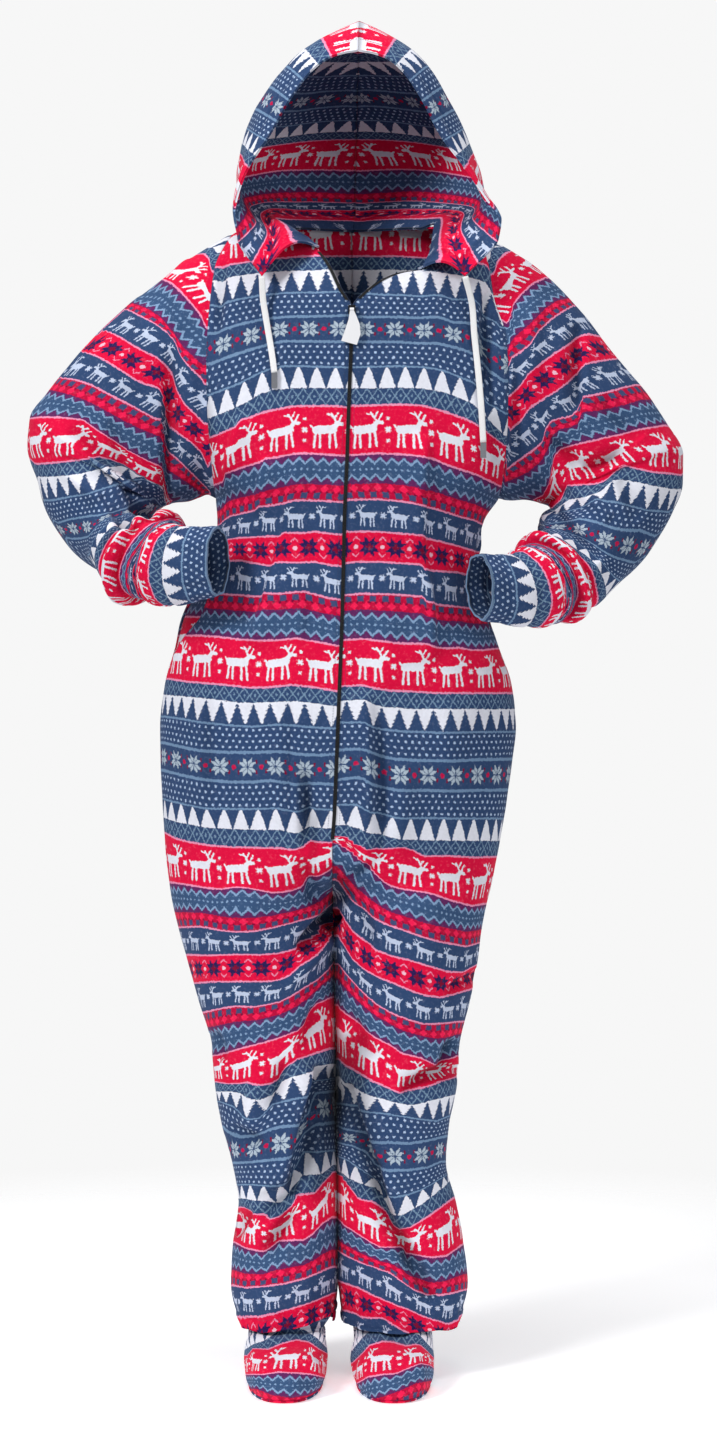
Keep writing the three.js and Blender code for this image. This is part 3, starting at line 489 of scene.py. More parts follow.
RIGHT_LINES = """
357  -9 -16  60 -16  98 -18  138 -21  166 -26  185 -44
377  -9 -32  60 -32  98 -34  138 -40  166 -48  185 -75
405.3  -9 -61  45 -64  65 -64  86 -66  100 -64  114 -65  126 -70  151 -69  166 -81  185 -104
438.3  4 -91  31 -91  59 -91  86 -92  104 -91  114 -93  126 -98  138 -98  150 -99  160 -102
  170 -116  185 -129
473.8  4 -122  59 -122  86 -124  106 -124  120 -127  140 -132  156 -139  168 -144  174 -159  188 -170
506.8  -2 -154  19 -153  59 -152  86 -153  106 -156  120 -160  140 -168  150 -172  161 -181
  171 -199  191 -211
536.6  -2 -181  59 -180  86 -181  106 -184  120 -187  140 -195  151 -200  165 -214  191 -241
555.6  -2 -202  30 -201  59 -200  86 -201  102 -205  122 -211  138 -217  154 -224  191 -251
615.6  -2 -263  30 -261  56 -262  82 -264  102 -268  115 -274  135 -281  154 -287  190 -304
675.6  -5 -319  30 -318  56 -320  76 -322  89 -325  91 -327  109 -332  135 -340  154 -345  182 -359
715.2  -6 -358  30 -358  56 -360  76 -361  88 -362  89 -366  109 -370  135 -377  154 -383  179 -394
753.6  -9 -398  5 -396  34 -396  62 -398  84 -400  86 -406  114 -408  131 -409  160 -416  185 -421
794  -10 -438  12 -436  34 -437  62 -438  85 -441  88 -448  116 -451  160 -456  191 -456
853.6  -15 -494  12 -492  34 -495  56 -498  78 -499  91 -499  100 -503  120 -504  135 -503  149 -506
  164 -506  182 -504
913.6  -18 -552  12 -550  28 -554  49 -557  78 -558  106 -560  135 -560  164 -560  202 -560
933.6  -18 -570  14 -568  26 -574  44 -578  81 -580  128 -580  202 -580
961.9  -19 -597  14 -596  24 -602  36 -605  66 -608  111 -609  202 -608
994.9  -20 -631  11 -629  21 -632  34 -638  51 -642  81 -644  128 -644  201 -642
1030.4  -21 -669  11 -664  21 -671  34 -678  51 -680  81 -681  128 -682  192 -681
1063.4  -24 -700  6 -699  19 -706  36 -712  59 -715  81 -716  128 -717  185 -717
1093.2  -28 -726  -9 -726  11 -730  29 -737  51 -742  81 -745  128 -746  180 -746
1112.2  -28 -742  -9 -742  -1 -748  14 -754  36 -757  51 -753  62 -752  75 -756  90 -765  120 -764
  154 -766  181 -765
1172.2  -20 -746  -2 -756  10 -766  21 -777  34 -791  44 -800  59 -805  82 -810  105 -815  128 -821
  150 -827  168 -824
1232.2  -18 -794  -8 -809  0 -821  11 -832  25 -841  41 -849  59 -855  82 -863  105 -870  128 -875
  142 -878  160 -873
1271.8  -18 -829  -9 -845  1 -859  14 -871  30 -882  51 -890  75 -895  98 -902  120 -909  139 -910  158 -899
1310.2  -18 -864  -9 -879  0 -894  14 -906  34 -917  55 -925  75 -934  94 -940  112 -942  128 -938  152 -930
1350.6  -18 -900  -9 -911  0 -921  14 -936  32 -952  51 -963  75 -972  90 -976  112 -975  145 -972
1410.2  -18 -951  -9 -964  1 -973  14 -983  31 -993  48 -1001  62 -1012  86 -1018  106 -1028
  118 -1028  132 -1016
1470.2  -18 -1019  -9 -1027  8 -1036  22 -1045  39 -1053  60 -1063  79 -1059  95 -1055  115 -1047  132 -1041
1490.2  -18 -1041  -9 -1050  8 -1056  22 -1064  39 -1070  55 -1075  71 -1078  86 -1076  102 -1071  128 -1064
1518.5  -18 -1076  -1 -1082  15 -1082  39 -1087  62 -1091  86 -1095  106 -1098  122 -1091
1551.5  -18 -1104  -9 -1109  11 -1118  22 -1122  48 -1124  71 -1126  95 -1122  118 -1116
1587  -18 -1124  -2 -1129  12 -1139  26 -1157  48 -1159  71 -1159  95 -1156  111 -1149
1620  -18 -1141  -6 -1146  10 -1159  25 -1176  39 -1192  55 -1192  71 -1190  86 -1185  100 -1177  122 -1164
1649.8  -18 -1164  8 -1176  25 -1184  35 -1200  45 -1216  55 -1217  62 -1216  86 -1204  100 -1193  124 -1172
1668.8  -18 -1159  -9 -1172  8 -1196  22 -1200  40 -1216  50 -1231  59 -1236  75 -1231  94 -1219
  106 -1210  129 -1193
1728.8  -18 -1221  -9 -1230  1 -1236  22 -1251  34 -1257  55 -1258  64 -1259  70 -1268  86 -1268
  102 -1270  119 -1268  130 -1260  141 -1252
1788.8  -18 -1260  -9 -1266  8 -1275  31 -1283  48 -1289  62 -1300  79 -1312  100 -1320  119 -1316
  146 -1311
1828.4  -18 -1298  -9 -1302  8 -1308  31 -1320  48 -1327  68 -1334  86 -1343  102 -1350  119 -1352
  135 -1345
1866.8  -18 -1335  -5 -1340  15 -1346  39 -1346  62 -1359  86 -1375  135 -1384
1907.2  -18 -1376  15 -1386  62 -1399  135 -1424
"""
FOOT_LINES = {-1: """
506.8  -125 -1354  -32 -1349
536.6  -140 -1391  -125 -1381  -109 -1375  -94 -1364  -78 -1360  -61 -1361  -45 -1372  -32 -1386
555.6  -132 -1394  -125 -1385  -105 -1386  -89 -1379  -70 -1374  -54 -1377  -41 -1386  -31 -1391
615.6  -131 -1418  -112 -1418  -94 -1415  -70 -1416  -50 -1418  -32 -1423
654.6  -121 -1436  -101 -1444  -76 -1448  -54 -1444  -32 -1432
676  -101 -1461  -76 -1465  -54 -1461
""", 1: """
506.8  8 -1341  92 -1346
536.6  0 -1389  10 -1376  20 -1365  35 -1358  51 -1356  66 -1361  85 -1369  102 -1389
555.6  0 -1404  14 -1390  22 -1381  39 -1376  51 -1377  68 -1382  79 -1380  86 -1381  94 -1388  104 -1399
615.6  1 -1432  20 -1421  39 -1418  55 -1417  71 -1410  86 -1404  98 -1406  105 -1411
654.6  10 -1454  29 -1449  42 -1445  62 -1438  80 -1429  98 -1426
676  29 -1469  42 -1465  62 -1458  85 -1449
"""}
SLEEVE_LINES = {-1: """
-1  -365 -69  -240 -29  -195 -6  -182 -14  -170 -28
58.6  -365 -106  -290 -69  -239 -42  -225 -48  -210 -62  -195 -80  -184 -94  -174 -104
98  -365 -131  -274 -74  -255 -81  -240 -91  -225 -109  -212 -128  -198 -141  -178 -159
119  -365 -139  -315 -111  -282 -80  -265 -89  -246 -99  -230 -110  -220 -122  -214 -139  -202 -154
  -190 -165  -178 -174
158.6  -365 -159  -311 -105  -292 -114  -275 -125  -259 -134  -244 -141  -232 -151  -224 -161
  -219 -181  -210 -198  -198 -210  -182 -226  -175 -234
197.4  -402 -194  -340 -132  -320 -139  -302 -149  -285 -160  -270 -170  -255 -176  -241 -179
  -236 -189  -234 -211  -229 -228  -215 -238  -200 -248  -188 -260  -180 -279  -175 -294
237.4  -409 -194  -371 -165  -346 -169  -325 -176  -302 -188  -280 -199  -262 -209  -246 -218
  -236 -219  -234 -244  -230 -259  -220 -266  -208 -278  -195 -291  -182 -304  -175 -311
258  -409 -206  -380 -181  -358 -186  -335 -194  -310 -206  -285 -220  -262 -231  -242 -239
  -236 -241  -234 -269  -230 -281  -215 -291  -200 -301  -175 -319
297.2  -409 -218  -390 -216  -365 -216  -335 -219  -320 -231  -300 -244  -278 -259  -255 -271
  -236 -279  -234 -301  -228 -319  -175 -338
357  -409 -274  -390 -274  -365 -272  -340 -269  -315 -265  -300 -269  -284 -276  -265 -289
  -246 -299  -236 -304  -232 -325  -175 -350
377  -402 -290  -380 -290  -358 -289  -334 -285  -309 -279  -288 -276  -265 -279  -246 -286
  -236 -294  -230 -329
404.4  -396 -319  -372 -318  -352 -314  -332 -311  -315 -305  -296 -299  -278 -294  -259 -291
  -240 -292  -230 -331
437  -384 -350  -370 -348  -352 -342  -328 -338  -302 -336  -284 -329  -265 -319  -246 -316  -232 -334
472.6  -365 -366  -340 -366  -315 -361  -296 -358  -280 -349  -265 -341  -252 -339  -238 -341
506.8  -340 -391  -315 -381  -300 -375  -284 -366  -268 -356  -250 -346
""", 1: """
-1  179 -24  188 -14  200 -6  222 6  310 6
58.6  182 -114  190 -106  198 -91  201 -74  212 -61  225 -49  241 -42  310 -44
98  185 -144  195 -126  205 -114  215 -106  228 -94  242 -80  255 -71  272 -68  335 -69
119  185 -151  195 -144  210 -135  222 -126  232 -109  248 -94  262 -84  276 -76  360 -81
158.6  185 -196  195 -191  210 -176  220 -161  235 -149  252 -136  270 -125  282 -115  295 -112
  310 -116  360 -131
197.4  185 -244  195 -234  210 -221  222 -204  238 -194  255 -184  268 -174  278 -164  284 -160
  288 -151  298 -148  315 -145  335 -142  385 -144
237.4  185 -289  200 -276  215 -265  228 -256  238 -246  241 -231  248 -221  260 -218  272 -216
  284 -206  286 -191  300 -189  318 -185  335 -180  352 -176  368 -176  422 -181
258  185 -299  205 -291  220 -284  235 -271  244 -256  248 -241  258 -231  270 -229  282 -224
  286 -209  305 -208  325 -204  345 -199  360 -194  375 -194  422 -199
297.2  185 -331  222 -321  238 -314  246 -299  249 -281  252 -264  260 -255  278 -250  298 -246
  318 -241  335 -238  355 -232  372 -229  390 -226  422 -231
357  185 -344  222 -334  250 -329  261 -319  268 -301  285 -300  305 -299  318 -294  328 -284
  340 -276  360 -281  380 -285  398 -286  422 -290
377  222 -344  250 -334  270 -319  290 -316  310 -309  325 -294  342 -294  362 -298  380 -302
  398 -305  422 -306
404.4  235 -349  260 -334  285 -329  305 -316  315 -319  332 -321  350 -326  368 -331  385 -332  422 -335
437  229 -354  248 -348  268 -345  285 -341  302 -344  322 -351  340 -355  360 -355  378 -362  410 -366
472.6  229 -359  245 -356  260 -359  278 -366  295 -375  312 -384  330 -390  348 -395  385 -401
506.8  235 -376  255 -389  272 -396  290 -404  308 -410  325 -416  342 -422  372 -431
536.6  235 -401  250 -411  268 -424  285 -432  302 -440  325 -444  360 -451
"""}
# Creases: ends, bow, width left and right of the way down, height
FRONT_FOLDS = """
-140 -212 -158 -289 0 5 16 3.2
-110 -264 -119 -336 0 5 20 3.2
-68 -256 -85 -362 0 5 22 3.6
-85 -354 -131 -500 7.5 6 28 5
-54 -444 -55 -504 0 6 6 -2
94 -239 86 -396 -2.5 24 5 4.6
85 -389 99 -519 3.75 24 6 4.2
15 -554 18 -776 5 16 8 4.6
30 -569 35 -769 2.5 9 10 -3.2
-56 -659 -55 -756 0 8 5 -5.5
-80 -561 -81 -741 0 4 4 -2
171 -59 170 -206 -3.75 7 7 -5
-162 -21 -171 -119 0 7 7 -3
-65 -884 -18 -834 0 7 9 -8
-82 -931 -22 -864 3.75 9 8 4
-2 -791 25 -774 0 6 6 -3.5
118 -934 158 -911 0 6 6 -3
62 -1061 134 -1031 2.5 8 10 -6.5
118 -1031 131 -994 0 5 9 -5
-8 -1051 24 -1151 0 14 7 -8.5
24 -1144 51 -1238 0 14 7 -8.5
49 -1229 105 -1326 2.5 13 8 -7
5 -1051 35 -1151 0 9 20 3.5
35 -1156 62 -1238 0 9 18 3.5
-36 -1026 -54 -1096 0 8 13 -8
-52 -1089 -78 -1191 0 8 13 -8.5
-41 -1094 -56 -1171 0 7 7 -3.5
-51 -1031 -70 -1096 0 16 8 3.5
-69 -1094 -90 -1181 0 16 8 3.5
-176 -984 -160 -1019 0 6 6 -3.5
-82 -1021 -105 -1086 0 9 9 -4.5
-120 -1031 -128 -1111 0 13 13 4
-155 -1106 -112 -1126 0 9 8 -3.5
-118 -1216 -61 -1181 0 8 8 -5.5
-70 -1209 -112 -1266 2.5 9 9 -5.5
-150 -1244 -130 -1209 0 6 8 -4
65 -644 50 -766 2.5 14 18 2.6
122 -569 118 -694 0 20 26 2.2
-184 -569 -182 -731 0 24 18 2.4
-134 -769 -150 -881 0 22 30 2.6
90 -794 105 -919 0 24 24 2.4
-65 -394 -70 -556 2.5 16 16 2
41 -394 45 -556 0 18 22 1.8
-65 -769 -42 -825 0 8 10 -3.5
5 -819 25 -881 0 9 9 -3
-9 -956 25 -1019 0 9 9 -3
-40 -944 -60 -1006 0 8 10 -3
"""
# Painted shade between folds: places in the same form, with how dark the colour is painted at each
FRONT_PAINTED_SHADE = """
-10 -985 -48 -1200 0 14 20 1.0
3 -985 30 -1195 0 20 12 0.95
30 -1170 76 -1290 2.5 10 8 0.8
-30 -772 -6 -830 0 10 16 0.9
-44 -700 -50 -770 0 4 6 0.6
-63 -640 -62 -760 0 6 4 0.5
-178 -560 -176 -700 0 10 6 0.35
-122 -1195 -66 -1170 0 5 7 0.6
-76 -1200 -118 -1262 0 6 6 0.55
62 -1052 134 -1024 0 5 7 0.5
118 -1026 131 -990 0 5 6 0.5
-186 -170 -176 -300 0 8 10 0.5
182 -190 178 -300 0 10 8 0.4
-60 -872 -20 -842 0 5 7 0.5
"""
BACK_FOLDS = """
0 -244 -2 -494 0 18 18 -3
-65 -394 -90 -569 7.5 14 26 4
72 -394 95 -569 -7.5 26 14 4
-128 -281 -150 -394 0 8 22 3.6
138 -281 155 -394 0 22 8 3.6
-28 -694 -50 -819 5 8 16 -5
18 -694 45 -825 -5 16 8 -5
-65 -744 -140 -781 6.25 10 14 -4
60 -750 135 -794 -6.25 10 14 -4
-78 -856 -145 -894 5 9 9 -3.5
40 -856 122 -900 -3.75 9 9 -3.5
-38 -1019 -132 -1046 6.25 8 10 -5.5
-2 -1026 125 -1064 -6.25 9 9 -5.5
-42 -1081 -128 -1119 5 10 10 4
10 -1094 110 -1114 0 10 10 4
-65 -1131 -130 -1181 3.75 8 8 -5
25 -1144 110 -1189 -3.75 8 8 -5
-34 -1194 -112 -1244 3.75 8 8 -4.5
30 -1206 118 -1249 -3.75 8 8 -4.5
-115 -69 -65 -169 5 20 24 2.8
118 -69 65 -169 -5 24 20 2.8
-171 -469 -184 -644 0 20 20 2.4
160 -481 168 -656 0 20 20 2.4
-40 -569 -38 -694 0 10 10 -2.4
40 -569 35 -694 0 10 10 -2.4
"""
SLEEVE_FOLDS = """
-234 -131 -235 -325 2.5 5 16 -6
-218 -131 -219 -319 2.5 16 22 3
-252 -69 -280 -184 3.75 16 16 2.6
-202 -19 -218 -106 0 12 14 2.4
-302 -219 -265 -331 -3.75 9 9 -3.5
-352 -231 -290 -294 2.5 10 10 -3
-365 -281 -292 -344 2.5 9 9 3
-190 -131 -194 -281 0 12 12 2.2
-315 -319 -252 -375 0 8 8 -4
-276 -325 -240 -344 0 6 6 -4
285 -101 285 -209 -2.5 16 5 -5.5
269 -106 268 -206 0 20 14 2.8
245 -244 285 -281 2.5 7 7 -4.5
285 -284 338 -259 -2.5 7 9 -5
222 -69 226 -169 0 14 14 2.4
260 -294 322 -344 2.5 9 9 3
310 -194 360 -244 -2.5 9 9 -2.6
241 -319 310 -394 -3.75 9 9 -3.5
205 -144 202 -281 0 9 9 -2.6
335 -294 360 -344 0 9 9 -2.6
"""
SLEEVE_BACK_FOLDS = """
-252 -69 -290 -194 3.75 14 16 3
-228 -144 -230 -294 0 9 9 -4
-340 -219 -278 -319 3.75 10 10 -4
-290 -194 -240 -319 -3.75 12 12 3
250 -69 290 -194 -3.75 16 14 3
230 -144 235 -294 0 9 9 -4
340 -231 282 -331 -3.75 10 10 -4
298 -194 245 -319 3.75 12 12 3
"""


def seen(P):
    """Where a place appears on the plane through the shoulders, seen from the camera."""
    near = -EYE[1] / (P[..., 1] - EYE[1])
    return EYE[0] + (P[..., 0] - EYE[0]) * near, EYE[2] + (P[..., 2] - EYE[2]) * near


def read_lines(text):
    """Print levels from a table, where a line set in goes on from the one above."""
    rows = [[float(v) for v in line.split()] for line in text.strip().replace("\n  ", " ").splitlines()]
    return [(r[0], np.array(r[1::2]), np.array(r[2::2])) for r in rows]


def print_level(lines, x, z):
    """Level of the print at a place, from the lines above and below it."""
    levels = np.array([line[0] for line in lines])
    heights = np.stack([np.interp(x, line[1], line[2]) for line in lines])
    heights = np.minimum.accumulate(heights - 0.001 * np.arange(len(lines)).reshape(-1, *[1] * x.ndim), 0)
    i = np.clip((heights > z).sum(0) - 1, 0, len(lines) - 2)
    take = lambda q: np.take_along_axis(heights, (i + q)[None], 0)[0]
    top, low = take(0), take(1)
    t = np.clip((top - z) / (top - low), 0, 1)
    level = levels[i] + t * (levels[i + 1] - levels[i])
    return level - np.maximum(z - heights[0], 0) + np.maximum(heights[-1] - z, 0)


LINES = {-1: read_lines(LEFT_LINES), 1: read_lines(RIGHT_LINES)}


FOLD_DEPTH = 2.9


def fold_heights(text, x, z):
    """Sum of the soft ridges and troughs of a fold table at places seen from the front."""
    total = np.zeros_like(x)
    for line in text.strip().splitlines():
        x0, z0, x1, z1, bow, wl, wr, height = (float(v) for v in line.split())
        length = math.hypot(x1 - x0, z1 - z0)
        ux, uz = (x1 - x0) / length, (z1 - z0) / length
        t = ((x - x0) * ux + (z - z0) * uz) / length
        d = (x - x0) * -uz + (z - z0) * ux - bow * (1 - (2 * t - 1) ** 2)
        d = -d if ux == 0 and uz > 0 else d
        width = np.where(d < 0, wl, wr)
        ends = np.sqrt(np.clip(np.sin(PI * np.clip(t, 0, 1)), 0, 1))
        total += height * ends * np.exp(-(d / width) ** 2) * (np.abs(t - 0.5) < 0.5)
    return total * FOLD_DEPTH


def ripple(x, z, phase=0.0):
    """Slow unevenness of loose cloth, about a millimetre."""
    return (0.7 * np.sin(x / 31 + z / 57 + phase) * np.sin(z / 43 - x / 90 + 1.3 * phase)
            + 0.5 * np.sin(x / 17 - z / 39 + 2 + phase) * np.sin(z / 71 + 0.7)
            + 0.25 * np.sin(x / 9 + z / 23 + phase) * np.sin(x / 37 - z / 13))


def arc_along(P):
    """Length along each row of a grid from its first column."""
    step = np.linalg.norm(np.diff(P, axis=1), axis=-1)
    return np.concatenate([np.zeros((len(P), 1)), np.cumsum(step, 1)], 1)


def mesh_object(name, verts, faces, uv=None, smooth=True):
    """Mesh in metres from millimetre places; uv is one pair for each face corner."""
    mesh = bpy.data.meshes.new(name)
    faces = np.asarray(faces)
    size = faces.shape[1]
    mesh.vertices.add(len(verts))
    mesh.vertices.foreach_set("co", (np.asarray(verts, float) * MM).ravel())
    mesh.loops.add(faces.size)
    mesh.loops.foreach_set("vertex_index", faces.ravel())
    mesh.polygons.add(len(faces))
    mesh.polygons.foreach_set("loop_start", np.arange(0, faces.size, size))
    mesh.polygons.foreach_set("use_smooth", np.full(len(faces), smooth))
    mesh.update(calc_edges=True)
    if uv is not None:
        mesh.uv_layers.new(name="print").data.foreach_set("uv", (np.asarray(uv, float) * MM).ravel())
    mesh.validate()
    obj = bpy.data.objects.new(name, mesh)
    bpy.context.scene.collection.objects.link(obj)
    return obj


def shell(name, P, N, uv, thick=CLOTH, wrap=False):
    """Closed cloth from a grid of outer points: two layers joined by a rounded rim."""
    rows, cols = P.shape[:2]
    last = cols if wrap else cols - 1
    inner = P - N * thick
    verts = [P.reshape(-1, 3), inner.reshape(-1, 3)]
    i, j = np.meshgrid(np.arange(rows - 1), np.arange(last), indexing="ij")
    i, j = i.ravel(), j.ravel()
    vid = lambda a, b: a * cols + b % cols
    quad = np.stack([vid(i, j), vid(i, j + 1), vid(i + 1, j + 1), vid(i + 1, j)], 1)
    corner = np.stack([np.stack([i, j], 1), np.stack([i, j + 1], 1),
                       np.stack([i + 1, j + 1], 1), np.stack([i + 1, j], 1)], 1)
    faces, corners = [quad, quad[:, ::-1] + rows * cols], [corner, corner[:, ::-1]]
    base = 2 * rows * cols
    rims = []
    if wrap:
        ring = np.arange(cols + 1)
        rims = [[(0, c) for c in ring[::-1]], [(rows - 1, c) for c in ring]]
    else:
        rims = [[(0, c) for c in range(cols - 1, 0, -1)] + [(r, 0) for r in range(rows - 1)]
                + [(rows - 1, c) for c in range(cols - 1)] + [(r, cols - 1) for r in range(rows - 1, -1, -1)]]
    for rim in rims:
        rim = np.array(rim)
        a, b = rim[:, 0], rim[:, 1] % cols
        inward = P[np.clip(a, 1, rows - 2), b if wrap else np.clip(b, 1, cols - 2)]
        mid = (P[a, b] + inner[a, b]) / 2 + unit(P[a, b] - inward) * thick * 0.32
        ids = base + np.arange(len(rim))
        ids[-1] = base
        verts.append(mid[:-1])
        base += len(rim) - 1
        o = a * cols + b
        for near, far in ((o, ids), (ids, o + rows * cols)):
            strip = np.stack([near[:-1], near[1:], far[1:], far[:-1]], 1)
            faces.append(strip[:, ::-1])
            c = np.stack([rim[:-1], rim[1:], rim[1:], rim[:-1]], 1)
            corners.append(c[:, ::-1])
    verts, faces, corners = np.concatenate(verts), np.concatenate(faces), np.concatenate(corners)
    pairs = uv[corners[..., 0], corners[..., 1]]
    a, b, c = (verts[faces[:len(quad), q]] for q in (0, 1, 3))
    facing = (np.cross(b - a, c - a) * N[i, j]).sum()
    if facing < 0:
        faces, pairs = faces[:, ::-1], pairs[:, ::-1]
    return mesh_object(name, verts, faces, pairs)


class Value:
    """A shader socket that takes part in plain arithmetic."""

    def __init__(self, tree, socket):
        self.tree, self.socket = tree, socket

    def _do(self, operation, *others):
        return self.tree.add("ShaderNodeMath", {"operation": operation}, *others)

    def __add__(self, o): return self._do("ADD", self, o)
    def __radd__(self, o): return self._do("ADD", o, self)
    def __sub__(self, o): return self._do("SUBTRACT", self, o)
    def __rsub__(self, o): return self._do("SUBTRACT", o, self)
    def __mul__(self, o): return self._do("MULTIPLY", self, o)
    def __rmul__(self, o): return self._do("MULTIPLY", o, self)
    def __truediv__(self, o): return self._do("DIVIDE", self, o)
    def __mod__(self, o): return self._do("FLOORED_MODULO", self, o)
    def __abs__(self): return self._do("ABSOLUTE", self)
    def __lt__(self, o): return self._do("LESS_THAN", self, o)
    def __gt__(self, o): return self._do("GREATER_THAN", self, o)
    def low(self, o): return self._do("MINIMUM", self, o)
    def high(self, o): return self._do("MAXIMUM", self, o)
    def root(self): return self._do("SQRT", self)
    def wave(self): return self._do("SINE", self)
    def fold(self, o): return self._do("PINGPONG", self, o)
    def near(self, a, b): return (self > a) * (self < b)


class Finish:
    """A material and its nodes."""

    def __init__(self, name):
        self.material = bpy.data.materials.new(name)
        self.material.use_nodes = True
        self.nodes, self.links = self.material.node_tree.nodes, self.material.node_tree.links
        self.shader = self.nodes["Principled BSDF"]

    def add(self, kind, settings, *values, out=0, **named):
        node = self.nodes.new(kind)
        for key, value in settings.items():
            if key == "stops":
                ramp_stops = node.color_ramp.elements
                while len(ramp_stops) < len(value):
                    ramp_stops.new(0.5)
                for stop, (place, colour) in zip(ramp_stops, value):
                    stop.position, stop.color = place, colour
            else:
                setattr(node, key, value)
        sockets = list(enumerate(values)) + [(k.replace("_", " "), v) for k, v in named.items()]
        for key, value in sockets:
            self.put(node.inputs[key], value)
        return Value(self, node.outputs[out])

    def put(self, socket, value):
        if isinstance(value, Value):
            self.links.new(value.socket, socket)
        else:
            socket.default_value = value

    def blend(self, a, b, share, how="MIX"):
        node = self.nodes.new("ShaderNodeMix")
        node.data_type, node.blend_type = "RGBA", how
        for key, value in ((0, share), (6, a), (7, b)):
            self.put(node.inputs[key], value)
        return Value(self, node.outputs[2])

    def noise(self, where, scale, detail=2.0, rough=0.5):
        return self.add("ShaderNodeTexNoise", {"normalize": True}, Vector=where, Scale=scale,
                        Detail=detail, Roughness=rough)

    def place(self):
        return self.add("ShaderNodeTexCoord", {}, out="Object")

    def parts(self, vector):
        node = self.nodes.new("ShaderNodeSeparateXYZ")
        self.put(node.inputs[0], vector)
        return [Value(self, node.outputs[q]) for q in range(3)]

    def bump(self, height, distance, strength=1.0, under=None):
        made = self.add("ShaderNodeBump", {}, Strength=strength, Distance=distance, Height=height)
        if under:
            self.put(made.socket.node.inputs["Normal"], under)
        return made

    def surface(self, **sockets):
        for key, value in sockets.items():
            self.put(self.shader.inputs[key.replace("_", " ")], value)
        return self.material


def colour(r, g, b):
    """Linear colour from the everyday 0 to 255 scale."""
    def lin(v):
        v /= 255
        return v / 12.92 if v <= 0.04045 else ((v + 0.055) / 1.055) ** 2.4
    return (lin(r), lin(g), lin(b), 1)


RED, NAVY, MID_BLUE = colour(232, 10, 66), colour(50, 74, 114), colour(58, 86, 124)
WHITE, LIGHT_LINE, PINK = colour(236, 238, 248), colour(116, 146, 180), colour(240, 150, 186)
ZIGZAG, LATTICE, SLATE = colour(134, 164, 200), colour(118, 146, 172), colour(66, 76, 118)
STAR_NAVY, MAROON, DEER_BLUE = colour(44, 28, 86), colour(130, 10, 52), colour(196, 208, 232)
REPEAT = 556.6

# A standing reindeer one unit tall, as capsules: ends and thickness
REINDEER = """
-0.24 0.00 0.20 0.03 0.115
0.20 0.05 0.31 0.20 0.065
0.31 0.20 0.45 0.19 0.048
-0.26 -0.05 -0.30 -0.46 0.032
-0.15 -0.06 -0.14 -0.46 0.032
0.12 -0.05 0.12 -0.46 0.032
0.24 -0.02 0.30 -0.44 0.032
-0.32 0.04 -0.40 0.11 0.030
0.30 0.22 0.16 0.46 0.026
0.24 0.32 0.33 0.48 0.022
0.20 0.40 0.05 0.44 0.022
0.34 0.22 0.44 0.42 0.024
"""


def capsule(x, y, x0, y0, x1, y1, r):
    dx, dy = x1 - x0, y1 - y0
    px, py = x - x0, y - y0
    h = ((px * dx + py * dy) / (dx * dx + dy * dy)).high(0).low(1)
    ax, ay = px - h * dx, py - h * dy
    return (ax * ax + ay * ay).root() - r


def petals(x, y, h, gap=0.5):
    """Traditional eight-petalled star: 1 inside."""
    a, b = abs(x).high(abs(y)), abs(x).low(abs(y))
    return (b.high(a - b) < h) * (b.low(a - b) > gap)


# Painted shade: share of the base colour darkened away in the deepest fold hollow
HOLLOW_SHADE = 0.62


